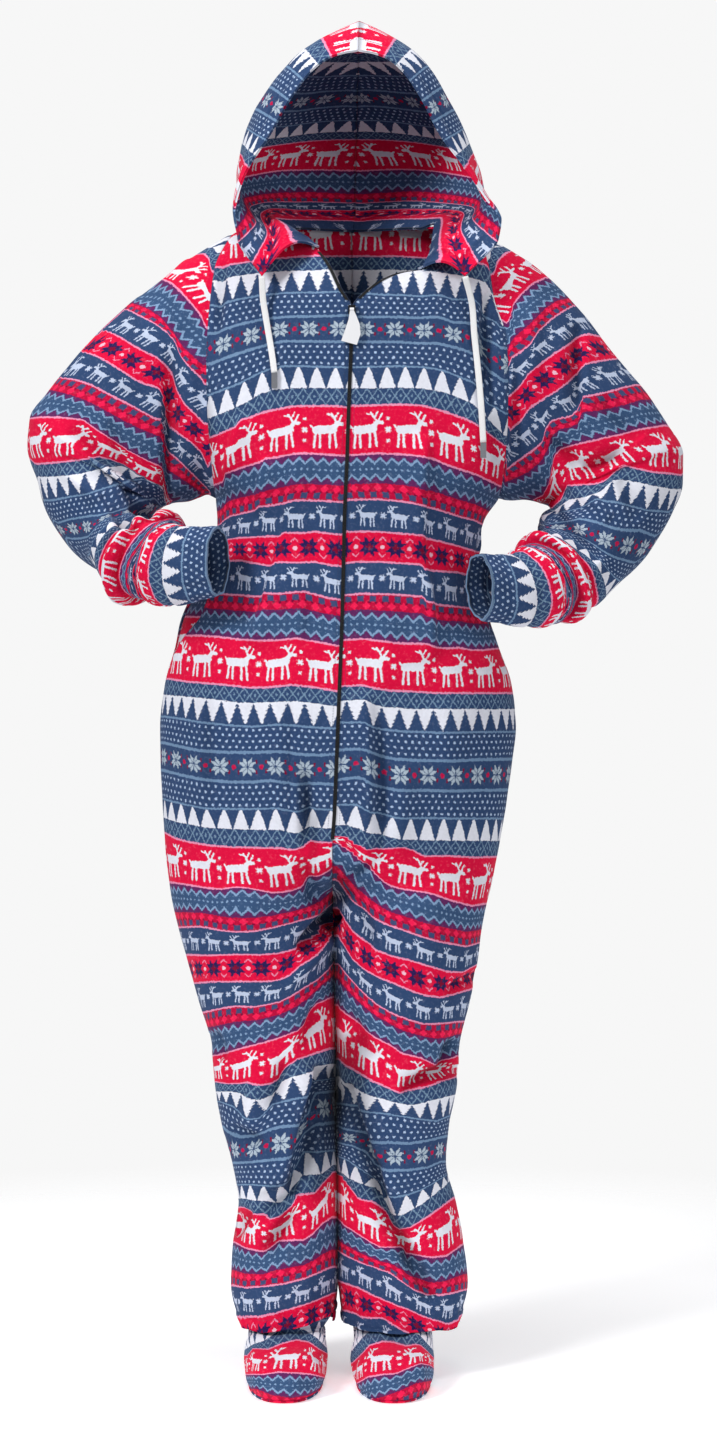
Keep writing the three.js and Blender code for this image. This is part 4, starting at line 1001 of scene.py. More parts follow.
def fleece(name):
    """Brushed fleece with the banded winter print, read from the cloth's own map in metres."""
    f = Finish(name)
    where = f.place()
    u, v, _ = f.parts(f.add("ShaderNodeUVMap", {"uv_map": "print"}))
    jitter = f.noise(where, 560.0, 3.0, 0.7)
    jitter_two = f.noise(where, 380.0, 3.0, 0.7)
    u = u * 1000 + (jitter - 0.5) * 5.5
    v = v * 1000 + (jitter_two - 0.5) * 5.5
    t = (v - 178.3).fold(REPEAT / 2)
    rising = ((v - 178.3) % REPEAT) < (REPEAT / 2)
    way = rising * 2 - 1

    def lay(base, tone, mask):
        return f.blend(base, tone, mask)

    centred = lambda step, off=0.0: (u + off) % step - step / 2
    # Grounds in their order out from the red star band
    tone = f.blend(RED, NAVY, t.near(20.3, 57.9))
    tone = lay(tone, colour(196, 10, 62), t.near(60.3, 80.1))
    tone = lay(tone, MID_BLUE, t.near(80.1, 117.8))
    tone = lay(tone, NAVY, t.near(180.2, 278.4))
    # Star band on red
    x = centred(32.5)
    tone = lay(tone, STAR_NAVY, petals(x, t, 6.3, 0.0) * (t < 17.9))
    tone = lay(tone, MAROON, ((abs(x).low(t) < 1.6) * (abs(x).high(t) < 4.6)))
    x = centred(32.5, 16.25)
    spots = (x * x + t * t).root()
    tone = lay(tone, colour(250, 196, 216), (spots < 2.7))
    corner = (abs(abs(x) + (t - 12.4)) < 0.9) * (abs(x) < 4.4) * t.near(6, 16.4)
    tone = lay(tone, PINK, corner)
    # Reindeer rows, small on blue and large on red, with a small star between
    large = t > 100
    middle = large * 109.9 + 39.15
    size = large * 17.5 + 28
    step = large * 15 + 38
    y = (t - middle) * way * -1
    slot_x = (u % step) - step / 2
    flip = large * 2 - 1
    sx, sy = (slot_x + step * 0.15) / size * flip, y / size
    body = None
    for line in REINDEER.strip().splitlines():
        piece = capsule(sx, sy, *(float(n) for n in line.split()))
        body = piece if body is None else body.low(piece)
    animal = (body < 0.0) * (t.near(22, 56.5).high(t.near(122, 176.5)))
    gap_x = (slot_x - step * 0.5 + step * 0.5 - step * 0.37)
    flake = petals(gap_x, y, 2.2, 0.0) * (t.near(22, 56.5).high(t.near(122, 176.5)))
    flake = flake + petals(gap_x, abs(y) - 13.5, 1.3, 0.0) * t.near(122, 176.5)
    tone = lay(tone, f.blend(DEER_BLUE, WHITE, large), animal.high(flake.low(1)))
    # Checker of slate squares and bright diamonds
    cx, cy = abs(centred(15.0)), abs(t - 65.4)
    tone = lay(tone, SLATE, (cx.high(cy) < 3.9) * t.near(60.3, 80.1))
    cx = abs(centred(15.0, 7.5))
    tone = lay(tone, colour(250, 30, 84), ((cx + abs(t - 74.6)) < 5.4) * t.near(60.3, 80.1))
    tone = lay(tone, colour(120, 10, 60), (abs(centred(7.5)).high(abs(t - 70)) < 1.2) * t.near(60.3, 80.1))
    # Zigzags on mid blue
    tooth = (u % 14.4 - 7.2)
    peak = abs(tooth) * (7.6 / 7.2)
    edge_a, edge_b = t - 84.5 - peak, 113.4 - t - peak
    inner = (abs(abs(tooth) - 3.6) + abs((t - 81.0) % 7.2 - 3.6))
    tone = lay(tone, ZIGZAG, (inner < 1.9) * t.near(93, 105))
    tone = lay(tone, colour(100, 40, 96), ((edge_a < -2.6).high(edge_b < -2.6)) * t.near(80.1, 117.8))
    tone = lay(tone, ZIGZAG, ((abs(edge_a) < 1.7).high(abs(edge_b) < 1.7)) * t.near(80.1, 117.8))
    # Diamond lattice on navy
    dx, dy = abs(centred(13.7)), abs(t - 189.6)
    ring = dx / 6.85 + dy / 9.4
    lat = ((abs(ring - 0.98) < 0.13).high(ring < 0.26)) * t.near(180.2, 199)
    tone = lay(tone, LATTICE, lat)
    # Trees: blue pointed shapes on white, shaggy one way and rounded the other
    rise = (t - 199) / 27.3
    step = rising * -1 + 22.5
    tx = abs((u % step) - step / 2) / step * 2
    steps = (rise * 5.0) % 1.0
    shag = rise + (steps - 0.5) * 0.20
    bullet = (1 - rise).high(0)
    width = rising * shag + (1 - rising) * (1 - bullet.root() * 0.42 - bullet * 0.5)
    tone = lay(tone, WHITE, t.near(199, 226.3) * (tx > width * 0.97))
    tone = lay(tone, LIGHT_LINE, t.near(226.3, 228.8))
    # Rows of dots
    row_y = (t - 228.8) / 7.2
    odd = ((row_y % 2.0) > 1.0) * 4.4
    dot_x, dot_y = ((u + odd) % 8.8) - 4.4, (row_y % 1.0 - 0.5) * 7.2
    tone = lay(tone, colour(176, 198, 228), ((dot_x * dot_x + dot_y * dot_y).root() < 1.6) * t.near(229.6, 257.4))
    tone = lay(tone, LIGHT_LINE, t.near(258.8, 262.3))
    # Split stars with red dots between
    far = 278.3 - t
    x = centred(36.0)
    tone = lay(tone, colour(178, 194, 208), petals(x, far, 5.8, 0.55) * t.near(262.3, 278.4))
    x = centred(36.0, 18.0)
    tone = lay(tone, colour(196, 20, 74), ((x * x + far * far).root() < 3.0) * t.near(262.3, 278.4))
    tone = lay(tone, MAROON, (abs(abs(x) - 6.2) < 1.0) * (abs(far - 6) < 2.4))
    # Thin pink lines where red and blue meet
    lines = t.near(17.9, 20.3).high(t.near(57.9, 60.3)).high(t.near(117.8, 120.3)).high(t.near(177.8, 180.2))
    tone = lay(tone, PINK, lines)
    # Brushed nap: soft blotches, frosted tips and fine fur
    blotch = f.noise(where, 38.0, 3.0, 0.6)
    tuft = f.noise(where, 260.0, 3.0, 0.65)
    hair = f.noise(where, 1300.0, 3.0, 0.7)
    light = 0.67 + blotch * 0.18 + tuft * 0.24 + hair * 0.06
    # Painted shade: the base colour is darkened in the fold hollows by the point attribute of painted shade, by up
    # to HOLLOW_SHADE of it
    hollow = f.add("ShaderNodeAttribute", {"attribute_name": "hollow"}, out="Fac")
    tone = f.blend(tone, (0, 0, 0, 1), (1 - light * (1 - hollow * HOLLOW_SHADE)).high(0).low(1))
    frost = (tuft - 0.56).high(0) * 0.45 + (hair - 0.55).high(0) * 0.2
    tone = f.blend(tone, colour(214, 216, 232), frost.low(0.10))
    height = tuft * 0.6 + hair * 0.10 + blotch * 0.5
    return f.surface(Base_Color=tone, Roughness=0.86 + blotch * 0.1, Normal=f.bump(height, 0.00045, 0.6),
                     Sheen_Weight=0.06, Sheen_Roughness=0.4, Sheen_Tint=(1, 1, 1, 1),
                     Specular_IOR_Level=0.08)


def plain(name, base, rough, metal=0.0, grain=900.0, depth=0.0001, vary=0.12, **more):
    """Even finish with fine grain and slight wear in tone."""
    f = Finish(name)
    where = f.place()
    fine, broad = f.noise(where, grain, 3.0, 0.6), f.noise(where, grain / 12, 2.0, 0.5)
    dark = tuple(c * (1 - vary) for c in base[:3]) + (1,)
    tone = f.blend(dark, base, fine * 0.6 + broad * 0.5)
    return f.surface(Base_Color=tone, Metallic=metal, Roughness=rough + (broad - 0.5) * 0.12,
                     Normal=f.bump(fine, depth, 0.6), **more)


def braid(name, base):
    """Flat plaited cord: slanting strands both ways, from the cord's own map in metres."""
    f = Finish(name)
    u, v, _ = f.parts(f.add("ShaderNodeUVMap", {"uv_map": "print"}))
    u, v = u * 1000, v * 1000
    one = ((u + v) / 1.9).fold(0.5) * 2
    two = ((u - v) / 1.9).fold(0.5) * 2
    over = (((u / 1.9) % 2.0) < 1.0)
    height = over * one + (1 - over) * two
    # Painted shade between the strands: the white is darker where the plait dips
    dark = tuple(c * 0.86 for c in base[:3]) + (1,)
    tone = f.blend(dark, base, (height * 1.6).low(1))
    return f.surface(Base_Color=tone, Roughness=0.7 + height * 0.1, Normal=f.bump(height, 0.0005, 0.8),
                     Sheen_Weight=0.15)


FLEECE = fleece("printed_fleece")
TAPE = plain("woven_zip_tape", colour(12, 12, 15), 0.85, grain=1500.0, depth=0.0002)
COIL = plain("black_coil", colour(10, 10, 12), 0.42, grain=700.0, vary=0.2)
PAINT = plain("black_slider_paint", colour(26, 26, 29), 0.33, metal=0.3, grain=500.0, vary=0.3)
RIBBON = plain("white_rubber_tab", colour(236, 236, 238), 0.45, grain=700.0, vary=0.05)
BRAID = braid("white_braid", colour(252, 252, 252))
METAL = plain("bright_tip_metal", colour(200, 202, 208), 0.22, metal=1.0, grain=300.0, vary=0.12)
THREAD = plain("dark_blue_thread", colour(46, 60, 96), 0.8, grain=2500.0, depth=0.0002)


PIECES = {}


def laid(name, P, N, uv, thick=CLOTH, wrap=False, cut=None, held="stretched", nodes=None, area=None,
         finish=None, hollow=None):
    """Cloth piece in place of its solid; the cut size it is given is not used."""
    obj = shell(name, P, N, uv, thick, wrap)
    # Painted shade in the fold hollows, one value for each outer point, is kept as a point attribute that darkens
    # the fleece colour
    if hollow is not None:
        depth = np.zeros(len(obj.data.vertices))
        depth[:hollow.size] = hollow.ravel()
        obj.data.attributes.new("hollow", "FLOAT", "POINT").data.foreach_set("value", depth)
    obj.data.materials.append(finish or FLEECE)
    PIECES[name] = (obj, nodes or [name.replace("cloth_", "")], cut, held, area)
    return obj


# Body panels, rows close enough for creases a few millimetres wide
ROWS_LOW, ROWS_HIGH, COLUMNS = 7, 5, 64
row_steps = np.concatenate([np.arange(0, LOWER_ROWS * ROWS_LOW) / ROWS_LOW,
                            LOWER_ROWS + np.arange(0, UPPER_ROWS * ROWS_HIGH + 1) / ROWS_HIGH])
FALL = {}


def panel_grid(side, face):
    row, j = np.meshgrid(row_steps, np.linspace(0, 1, COLUMNS + 1), indexing="ij")
    s = j * reach(side, row) if face < 0 else j
    P, N = panel_point(side, face, row, s), panel_normal(side, face, row, s)
    return row, s, P, N


def panel_print(side, face, P, X, Z):
    """Level down the print, and length across it from the middle column."""
    along = arc_along(P)
    mid = COLUMNS // 2
    U = X[:, mid:mid + 1] + side * (along - along[:, mid:mid + 1])
    V = print_level(LINES[side], X, Z)
    return U, V


grids = {}
for side in SIDES:
    for face in (-1, 1):
        row, s, P, N = panel_grid(side, face)
        X, Z = seen(P)
        grids[side, face] = (row, s, P, N, X, Z)

# One shared way out along the armholes, side seams and shoulders
places = np.concatenate([g[2].reshape(-1, 3) for g in grids.values()])
ways = np.concatenate([g[3].reshape(-1, 3) for g in grids.values()])
key, back = np.unique(np.round(places / 0.4), axis=0, return_inverse=True)
total = np.zeros((len(key), 3))
np.add.at(total, back.ravel(), ways)
ways = unit(total[back.ravel()])
start = 0
for key, (row, s, P, N, X, Z) in grids.items():
    n = row.size
    grids[key] = (row, s, P, ways[start:start + n].reshape(P.shape), X, Z)
    start += n


# How far each hem stands above its level, by place across
HEM_LINES = {(-1, -1): ([-142, -118, -90, -60, -34], [-1, -2, 3, 8, 14]),
             (-1, 1): ([-142, -90, -34], [0, 2, 0]),
             (1, -1): ([-10, 20, 60, 86, 104, 124, 138], [2, 0, -1, 1, 2, -3, 4]),
             (1, 1): ([-10, 60, 138], [0, 2, 3])}


def seam_dip(distance, depth=1.7, width=3.5):
    return -depth * np.exp(-(distance / width) ** 2)


for (side, face), (row, s, P, N, X, Z) in grids.items():
    U, V = panel_print(side, face, P, X, Z)
    along = arc_along(P)
    from_inner, from_outer = along, along[:, -1:] - along
    folds = fold_heights(FRONT_FOLDS if face < 0 else BACK_FOLDS, X, Z)
    keep = ramp(from_inner, 2, 14) * ramp(from_outer, 0, 10)
    lift = folds * keep + ripple(X, Z, 0.6 * side + face) * np.minimum(1, keep + 0.2)
    lift = lift + seam_dip(from_outer)
    if face > 0:
        lift = lift + seam_dip(from_inner) * ramp(Z, -800, -780)
    # Placket ridges beside the zip, softer to the left of it
    zip_on = ramp(Z, -752, -735)
    if face < 0:
        lift += zip_on * (1.8 if side < 0 else 1.2) * np.exp(-((from_inner - 9) / 5.0) ** 2)
        lift += (1 - zip_on) * ramp(Z, -790, -765) * seam_dip(from_inner, 1.5, 3)
    # Turned leg hem
    up = (P[..., 2] - HEM_Z)
    lift += 1.6 * np.exp(-((up - 7) / 7.0) ** 2) - 1.4 * np.exp(-((up - 17) / 2.5) ** 2)
    # Soft gathers above the foot, where the leg blouses over it
    around = U / 15.0
    lift += (1.5 * np.sin(around * 2.1 + side + face) + 0.9 * np.sin(around * 4.7)) * np.exp(-(up / 34) ** 2)
    lift = np.clip(lift, -20, 12)
    rise = np.interp(X, *HEM_LINES[side, face]) * ramp(row, 1.6, 0)
    P = P + vec(0 * X, 0 * X, rise)
    name = "cloth_%s_panel_%s" % ("front" if face < 0 else "back", SIDES[side])
    # Painted shade: the colour is darkened in the troughs of the folds, and on the front also in the places of the
    # shade table
    hollow = np.clip(-folds * keep / 26, 0, 0.5)
    if face < 0:
        hollow = hollow + fold_heights(FRONT_PAINTED_SHADE, X, Z) / FOLD_DEPTH
    laid(name, P + N * lift[..., None], N, np.stack([U, V], -1), held="hung",
         nodes=["%s_panel_%s" % ("front" if face < 0 else "back", SIDES[side])],
         hollow=np.clip(hollow, 0, 1))
    FALL[side, face] = (P + N * lift[..., None], N)

# Sleeves: level down the print at the outer and inner edges of each ring
SLEEVE_PRINT = {-1: Table("k outer inner", """
0 -45 236
1 10 240
2 60 245
3 118 248
4 196 252
5 258 258
6 298 300
7 345 345
8 377 380
9 404 410
10 472 460
11 506 506
12 545 556
13 590 596
14 640 640
15 882 882
16 934 934
17 996 996
"""), 1: Table("k outer inner", """
0 -60 290
1 10 288
2 60 286
3 118 284
4 196 280
5 258 276
6 298 300
7 335 340
8 366 376
9 400 408
10 465 460
11 506 506
12 550 556
13 590 596
14 660 660
15 885 885
16 934 934
17 996 996
""")}
# Gathered rolls and cuff, as rings: place along the sleeve, height and width of each
SLEEVE_ROLLS = {-1: """
12.35 -5 0.16
12.85 4 0.30
13.45 -6 0.14
14.0 4.5 0.26
14.55 -7 0.14
14.85 2.5 0.12
""", 1: """
12.3 -5 0.16
12.85 4.5 0.30
13.4 -6 0.14
13.95 4 0.28
14.5 -7 0.15
14.85 2.5 0.12
"""}
AROUND = 140
SLEEVE_LINE_SETS = {side: read_lines(SLEEVE_LINES[side]) for side in SIDES}
RING_STEPS = np.concatenate([np.arange(0, 12 * 11) / 11, 12 + np.arange(0, 5 * 15 + 1) / 15])
for side in SIDES:
    k, w = np.meshgrid(RING_STEPS, np.arange(AROUND), indexing="ij")
    th = PI + 2 * PI * w / AROUND
    P, N = sleeve_point(side, k, th), sleeve_normal(side, k, th)
    # Ring 0 shares the armhole's way out, so the cloth meets there
    near_arm = ramp(k, 0.9, 0.0)[..., None]
    flat_w = np.mod(th[0], 2 * PI)
    arm_t = np.where(flat_w <= PI, flat_w, 2 * PI - flat_w) / PI
    arm_row = LOWER_ROWS + UPPER_ROWS * (1 - arm_t)
    arm_face = np.where(flat_w <= PI, -1, 1)
    shared = np.zeros((AROUND, 3))
    for face in (-1, 1):
        g = grids[side, face]
        edge_n = g[3][:, -1]
        for q in range(3):
            value = np.interp(arm_row, row_steps, edge_n[:, q])
            shared[:, q] = np.where(arm_face == face, value, shared[:, q])
    N = unit(mix(N, unit(shared)[None], near_arm))
    X, Z = seen(P)
    front = ramp(np.sin(th), -0.25, 0.25)
    folds = (fold_heights(SLEEVE_FOLDS, X, Z) * front
             + fold_heights(SLEEVE_BACK_FOLDS, X, Z) * (1 - front))
    lift = folds * ramp(k, 0.1, 1.0) * ramp(k, 14.0, 12.5)
    for line in SLEEVE_ROLLS[side].strip().splitlines():
        at, height, width = (float(v) for v in line.split())
        bend = at + 0.12 * np.sin(th * 2 + at) + 0.07 * np.sin(th * 5 + 2 * at + side)
        uneven = 0.75 + 0.25 * np.sin(th * 3 + at * 2.3 + side)
        lift += 1.5 * height * uneven * np.exp(-((k - bend) / width) ** 2)
    lift += ripple(X, Z, 2.0 + side) * ramp(k, 0, 1.0)
    down = ramp(k, 14.9, 15.1)
    lift += down * (0.9 * np.sin(th * 7 + side) + 0.6 * np.sin(th * 12 + 1)) * np.abs(np.cos(PI * (k - 15) / 2))
    lift += down * -2.2 * np.exp(-((k - 15.9 - 0.10 * np.sin(th * 3)) / 0.10) ** 2)
    lift += 1.2 * np.exp(-((k - 16.9) / 0.10) ** 2) - 1.0 * np.exp(-((k - 16.62) / 0.05) ** 2)
    seam_at = np.minimum(w, AROUND - w)
    girth = np.linalg.norm(np.diff(P, axis=1, append=P[:, :1]), axis=-1)
    from_seam = seam_at * girth.mean(1, keepdims=True)
    lift += seam_dip(from_seam, 1.4, 3.0)
    reach_down = np.linalg.norm(P - P[:1], axis=-1)
    lift += seam_dip(reach_down)
    lift = np.clip(lift, -16, 11)
    Q = P + N * lift[..., None]
    ring = np.concatenate([Q, Q[:, :1]], 1)
    along = arc_along(ring)
    quarter = 3 * AROUND // 4
    U = side * -1 * (along - along[:, quarter:quarter + 1]) + 8
    th_full = PI + 2 * PI * np.arange(AROUND + 1) / AROUND
    share = (1 - np.cos(th_full)) / 2
    k_full = np.repeat(k[:, :1], AROUND + 1, 1)
    V = mix(SLEEVE_PRINT[side].at("outer", k_full), SLEEVE_PRINT[side].at("inner", k_full), share)
    height_share = (12 - ring[..., 2]) / 331
    arm_level = (mix(-45, 236, height_share) if side < 0 else mix(-60, 290, height_share))
    V = mix(V, arm_level, ramp(k_full, 1.2, 0.0))
    X, Z = seen(ring)
    seen_level = print_level(SLEEVE_LINE_SETS[side], X, Z)
    faces_us = ramp(np.sin(th_full), 0.0, 0.22)[None]
    V = mix(V, seen_level, faces_us * ramp(k_full, 0.0, 0.3) * ramp(k_full, 12.6, 11.2))
    # Painted shade: the colour is darkened in the sleeve's troughs, fading out near the armhole
    laid("cloth_sleeve_%s" % SIDES[side], Q, N, np.stack([U, V], -1), wrap=True, held="stretched",
         nodes=["sleeve_%s" % SIDES[side]], hollow=np.clip(-lift / 24, 0, 0.55) * ramp(k, 0.1, 0.6))

# Hood: rows from the neck seam to the crown seam, columns from the rim to the centre back
HOOD_PRINT = Table("b level", """
0 765
0.10 735
0.20 672
0.30 640
0.42 603
0.54 557
0.66 497
0.78 436
0.88 390
0.95 358
1 322
""")
HOOD_FORM = {}
for side in SIDES:
    rows = np.concatenate([np.linspace(0, 0.1, 19)[:-1], np.linspace(0.1, 1, 92)])
    cols = 0.5 * np.linspace(0, 1, 121) + 0.5 * np.linspace(0, 1, 121) ** 1.5
    b, a = np.meshgrid(rows, cols, indexing="ij")
    P, N = hood_point(side, b, a), hood_normal(side, b, a)
    along = arc_along(P)
    X, Z = seen(P)
    lift = 1.6 * ripple(P[..., 0] + 0.4 * P[..., 1], P[..., 2] - 0.6 * P[..., 1], 3.0 + side)
    lift += 2.4 * np.sin(PI * b) * np.sin(a * 9 + b * 6 + side) * np.exp(-((a - 0.45) / 0.3) ** 2)
    lift *= ramp(along, 0, 40) * ramp(b, 0, 0.06) * ramp(1 - b, 0, 0.04)
    lift += 2.6 * np.exp(-((along - 11) / 9.0) ** 2) - 1.9 * np.exp(-((along - 24.5) / 2.4) ** 2)
    lift += seam_dip(along[:, -1:] - along, 2.0, 4) + seam_dip((1 - b) * 420, 2.0, 5)
    lift += seam_dip(np.linalg.norm(P - P[:1], axis=-1), 1.6, 4) * (a < 0.97)
    lift *= ramp(b, -0.02, 0.03)
    Q = P + N * lift[..., None]
    # The back of the hood's neck edge is tucked inside the body
    tuck = ramp(b, 0.030, 0.0) * ramp(a, 0.50, 0.60)
    Q = Q + vec(-3.0 * side * ramp(abs(P[..., 0]), 30, 70), -3.4, -7.0) * tuck[..., None]
    U = along + 6
    V = HOOD_PRINT.at("level", b) + 1.5 * np.sin(U / 31)
    laid("cloth_hood_panel_%s" % SIDES[side], Q, N, np.stack([U, V], -1), held="hung",
         nodes=["hood_panel_%s" % SIDES[side]])
    HOOD_FORM[side] = (Q, N, along)

# Pocket bags behind the slant openings
for side in SIDES:
    row, q = np.meshgrid(np.linspace(22, 28, 49), np.linspace(0, 1, 37), indexing="ij")
    z = level_of(row)
    s = mix(0.4375 * reach(side, row), 0.5625, q)
    P = lower_point(side, z, s)
    ds = lower_point(side, z, s + 0.004) - lower_point(side, z, s - 0.004)
    dz = lower_point(side, z + 2, s) - lower_point(side, z - 2, s)
    N = unit(np.cross(ds, dz) * side)
    N = np.where(((N * (P - vec(BODY.at("mid", z) + side * 60, 0, z))).sum(-1) < 0)[..., None], -N, N)
    Q = P - N * (3.5 + 0.5 * np.sin(q * 9 + row))[..., None]
    X, Z = seen(Q)
    U = side * arc_along(Q)
    laid("cloth_pocket_%s" % SIDES[side], Q, N, np.stack([U, print_level(LINES[side], X, Z) + 26], -1),
         thick=2.0, held="hung", nodes=["pocket_piece_%s" % SIDES[side]])


# Feet: a shaft inside the leg, then loops widening over the instep down to the sole
def shaft_point(side, row, th):
    j = np.mod(th, 2 * PI) / PI
    front = panel_point(side, -1, row, np.clip(j, 0, 1)) - 3.4 * panel_normal(side, -1, row, np.clip(j, 0, 1))
    s = np.clip(2 - j, 0, 1)
    rear = panel_point(side, 1, row, s) - 3.4 * panel_normal(side, 1, row, s)
    return np.where((j <= 1)[..., None], front, rear)


def foot_loop(side, rise, th):
    c, d = np.cos(th), np.sin(th)
    half, toe, heel = (FOOT.at(name, rise) for name in ("half", "toe", "heel"))
    x = FOOT_X[side] - side * half * np.sign(c) * np.abs(c) ** 0.86
    y = (toe + heel) / 2 - (heel - toe) / 2 * np.sign(d) * np.abs(d) ** 0.86
    return vec(x, y, SOLE_Z + rise)


FOOT_LINE_SETS = {side: read_lines(FOOT_LINES[side]) for side in SIDES}
FOOT_FORM = {}
for side in SIDES:
    steps, around = 60, 128
    g, w = np.meshgrid(np.arange(steps + 13), np.arange(around), indexing="ij")
    th = 2 * PI * w / around
    row = np.interp(g, [0, 12], [1.25, 0.12])
    rise = np.interp(g, [12, 20, 36, 50, steps + 12], [63, 56.5, 50, 36, 3.2])
    loop = foot_loop(side, np.minimum(rise, 59.5), th)
    P = np.where((g <= 12)[..., None], shaft_point(side, row, th), loop)
    for _ in range(3):
        P[11:22] = (P[10:21] + 2 * P[11:22] + P[12:23]) / 4
    ring = np.roll(P, -1, 1) - np.roll(P, 1, 1)
    down = np.gradient(P, axis=0)
    N = unit(np.cross(ring, down))
    middle = vec(FOOT_X[side], -40, SOLE_Z + 20)
    N = N * np.sign((N * (P - middle)).sum())
    top = ramp(g, 12, 18) * ramp(g, 70, 52)
    lift = top * (2.2 * np.sin(P[..., 1] / 13 + P[..., 0] / 30 + side) * np.sin(P[..., 0] / 19 + 1)
                  + 1.2 * np.sin(P[..., 1] / 7.5 + P[..., 0] / 17) + ripple(P[..., 0], P[..., 1] * 1.3, side))
    lift += ramp(g, 11, 13) * 2.2 * np.sin(th * 6 + side) * np.exp(-((g - 15) / 4.0) ** 2)
    lift += -1.5 * np.exp(-((g - steps - 9.2) / 0.9) ** 2)
    Q = P + N * lift[..., None]
    full = np.concatenate([Q, Q[:, :1]], 1)
    X, Z = seen(full)
    along = arc_along(full)
    U = -side * (along - along[:, around // 4:around // 4 + 1]) + X[:, around // 4:around // 4 + 1]
    V = print_level(FOOT_LINE_SETS[side], X, Z)
    laid("cloth_foot_%s" % SIDES[side], Q, N, np.stack([U, V], -1), thick=2.4, wrap=True, held="stretched",
         nodes=["foot_upper_%s" % SIDES[side]])
    FOOT_FORM[side] = (Q, N)

    # Sole: rounded edge, flat on the floor
    r, w = np.meshgrid(np.arange(24), np.arange(around + 1), indexing="ij")
    th = 2 * PI * w / around
    scale = np.clip(r / 19.0, 0.04, 1)
    edge = foot_loop(side, 3.2 + 0 * th, th)
    centre = vec(FOOT_X[side], -64, SOLE_Z)
    P = centre + (edge - centre) * scale[..., None] * np.interp(r, [0, 19, 21, 23], [1, 1, 1.012, 1.006])[..., None]
    P[..., 2] = SOLE_Z + np.interp(r, [0, 19, 20, 21, 22, 23], [0, 0, 0.35, 1.2, 2.2, 2.9])
    low = P
    high = centre + (edge - centre) * (scale * 0.985)[..., None]
    high[..., 2] = SOLE_Z + 2.9
    order = np.concatenate([low, high[19::-1]])[:, :-1]
    rings, n = order.shape[:2]
    i, j = np.meshgrid(np.arange(rings - 1), np.arange(n), indexing="ij")
    i, j = i.ravel(), j.ravel()
    quad = np.stack([i * n + j, i * n + (j + 1) % n, (i + 1) * n + (j + 1) % n, (i + 1) * n + j], 1)
    verts = np.concatenate([order.reshape(-1, 3), centre[None] if centre.ndim == 1 else centre[:1, 0]])
    uv = verts[quad][..., :2] * np.array([1, -1]) + np.array([0, 620])
    obj = mesh_object("sole_%s_cloth" % SIDES[side], verts, quad, uv)
    b = bmesh.new()
    b.from_mesh(obj.data)
    bmesh.ops.delete(b, geom=[v for v in b.verts if not v.link_faces], context="VERTS")
    bmesh.ops.holes_fill(b, edges=[e for e in b.edges if e.is_boundary], sides=0)
    bmesh.ops.recalc_face_normals(b, faces=b.faces)
    b.to_mesh(obj.data)
    b.free()
    obj.data.materials.append(FLEECE)
    PIECES[obj.name] = (obj, ["sole_%s" % SIDES[side]], None, None, None)


# Repeats along a line: stitches and coil teeth, turned by the line and the cloth under them
def repeat_tree():
    tree = bpy.data.node_groups.new("repeat_along_line", "GeometryNodeTree")
    face = tree.interface
    face.new_socket("Geometry", in_out="INPUT", socket_type="NodeSocketGeometry")
    for name in ("Length", "Width", "Height"):
        face.new_socket(name, in_out="INPUT", socket_type="NodeSocketFloat")
    face.new_socket("Finish", in_out="INPUT", socket_type="NodeSocketMaterial")
    face.new_socket("Geometry", in_out="OUTPUT", socket_type="NodeSocketGeometry")

    def node(kind, **settings):
        made = tree.nodes.new(kind)
        for key, value in settings.items():
            setattr(made, key, value)
        return made

    given, out = node("NodeGroupInput"), node("NodeGroupOutput")
    bead = node("GeometryNodeMeshIcoSphere")
    bead.inputs["Radius"].default_value = 0.5
    bead.inputs["Subdivisions"].default_value = 1
    size = node("ShaderNodeCombineXYZ")
    turn = node("FunctionNodeAxesToRotation", primary_axis="X", secondary_axis="Z")
    along = node("GeometryNodeInputNamedAttribute", data_type="FLOAT_VECTOR")
    along.inputs["Name"].default_value = "along"
    out_of = node("GeometryNodeInputNamedAttribute", data_type="FLOAT_VECTOR")
    out_of.inputs["Name"].default_value = "outward"
    place = node("GeometryNodeInstanceOnPoints")
    real = node("GeometryNodeRealizeInstances")
    smooth = node("GeometryNodeSetShadeSmooth")
    finish = node("GeometryNodeSetMaterial")
    link = tree.links.new
    for q, name in enumerate(("Length", "Width", "Height")):
        link(given.outputs[name], size.inputs[q])
    link(along.outputs[0], turn.inputs["Primary Axis"])
    link(out_of.outputs[0], turn.inputs["Secondary Axis"])
    link(given.outputs["Geometry"], place.inputs["Points"])
    link(bead.outputs["Mesh"], place.inputs["Instance"])
    link(turn.outputs[0], place.inputs["Rotation"])
    link(size.outputs[0], place.inputs["Scale"])
    link(place.outputs[0], real.inputs[0])
    link(real.outputs[0], smooth.inputs[0])
    link(smooth.outputs[0], finish.inputs[0])
    link(given.outputs["Finish"], finish.inputs["Material"])
    link(finish.outputs[0], out.inputs[0])
    return tree


REPEAT_TREE = repeat_tree()


def step_along(line, ups, step):
    """Places a fixed step apart on a line, with the way along it and out of the cloth."""
    gone = np.concatenate([[0], np.cumsum(np.linalg.norm(np.diff(line, axis=0), axis=1))])
    t = np.arange(step / 2, gone[-1], step)
    put = lambda values: np.stack([np.interp(t, gone, values[:, q]) for q in range(3)], 1)
    P, up = put(line), unit(put(ups))
    way = unit(np.gradient(P, axis=0)) if len(P) > 1 else P * 0 + 1
    return P, way, up


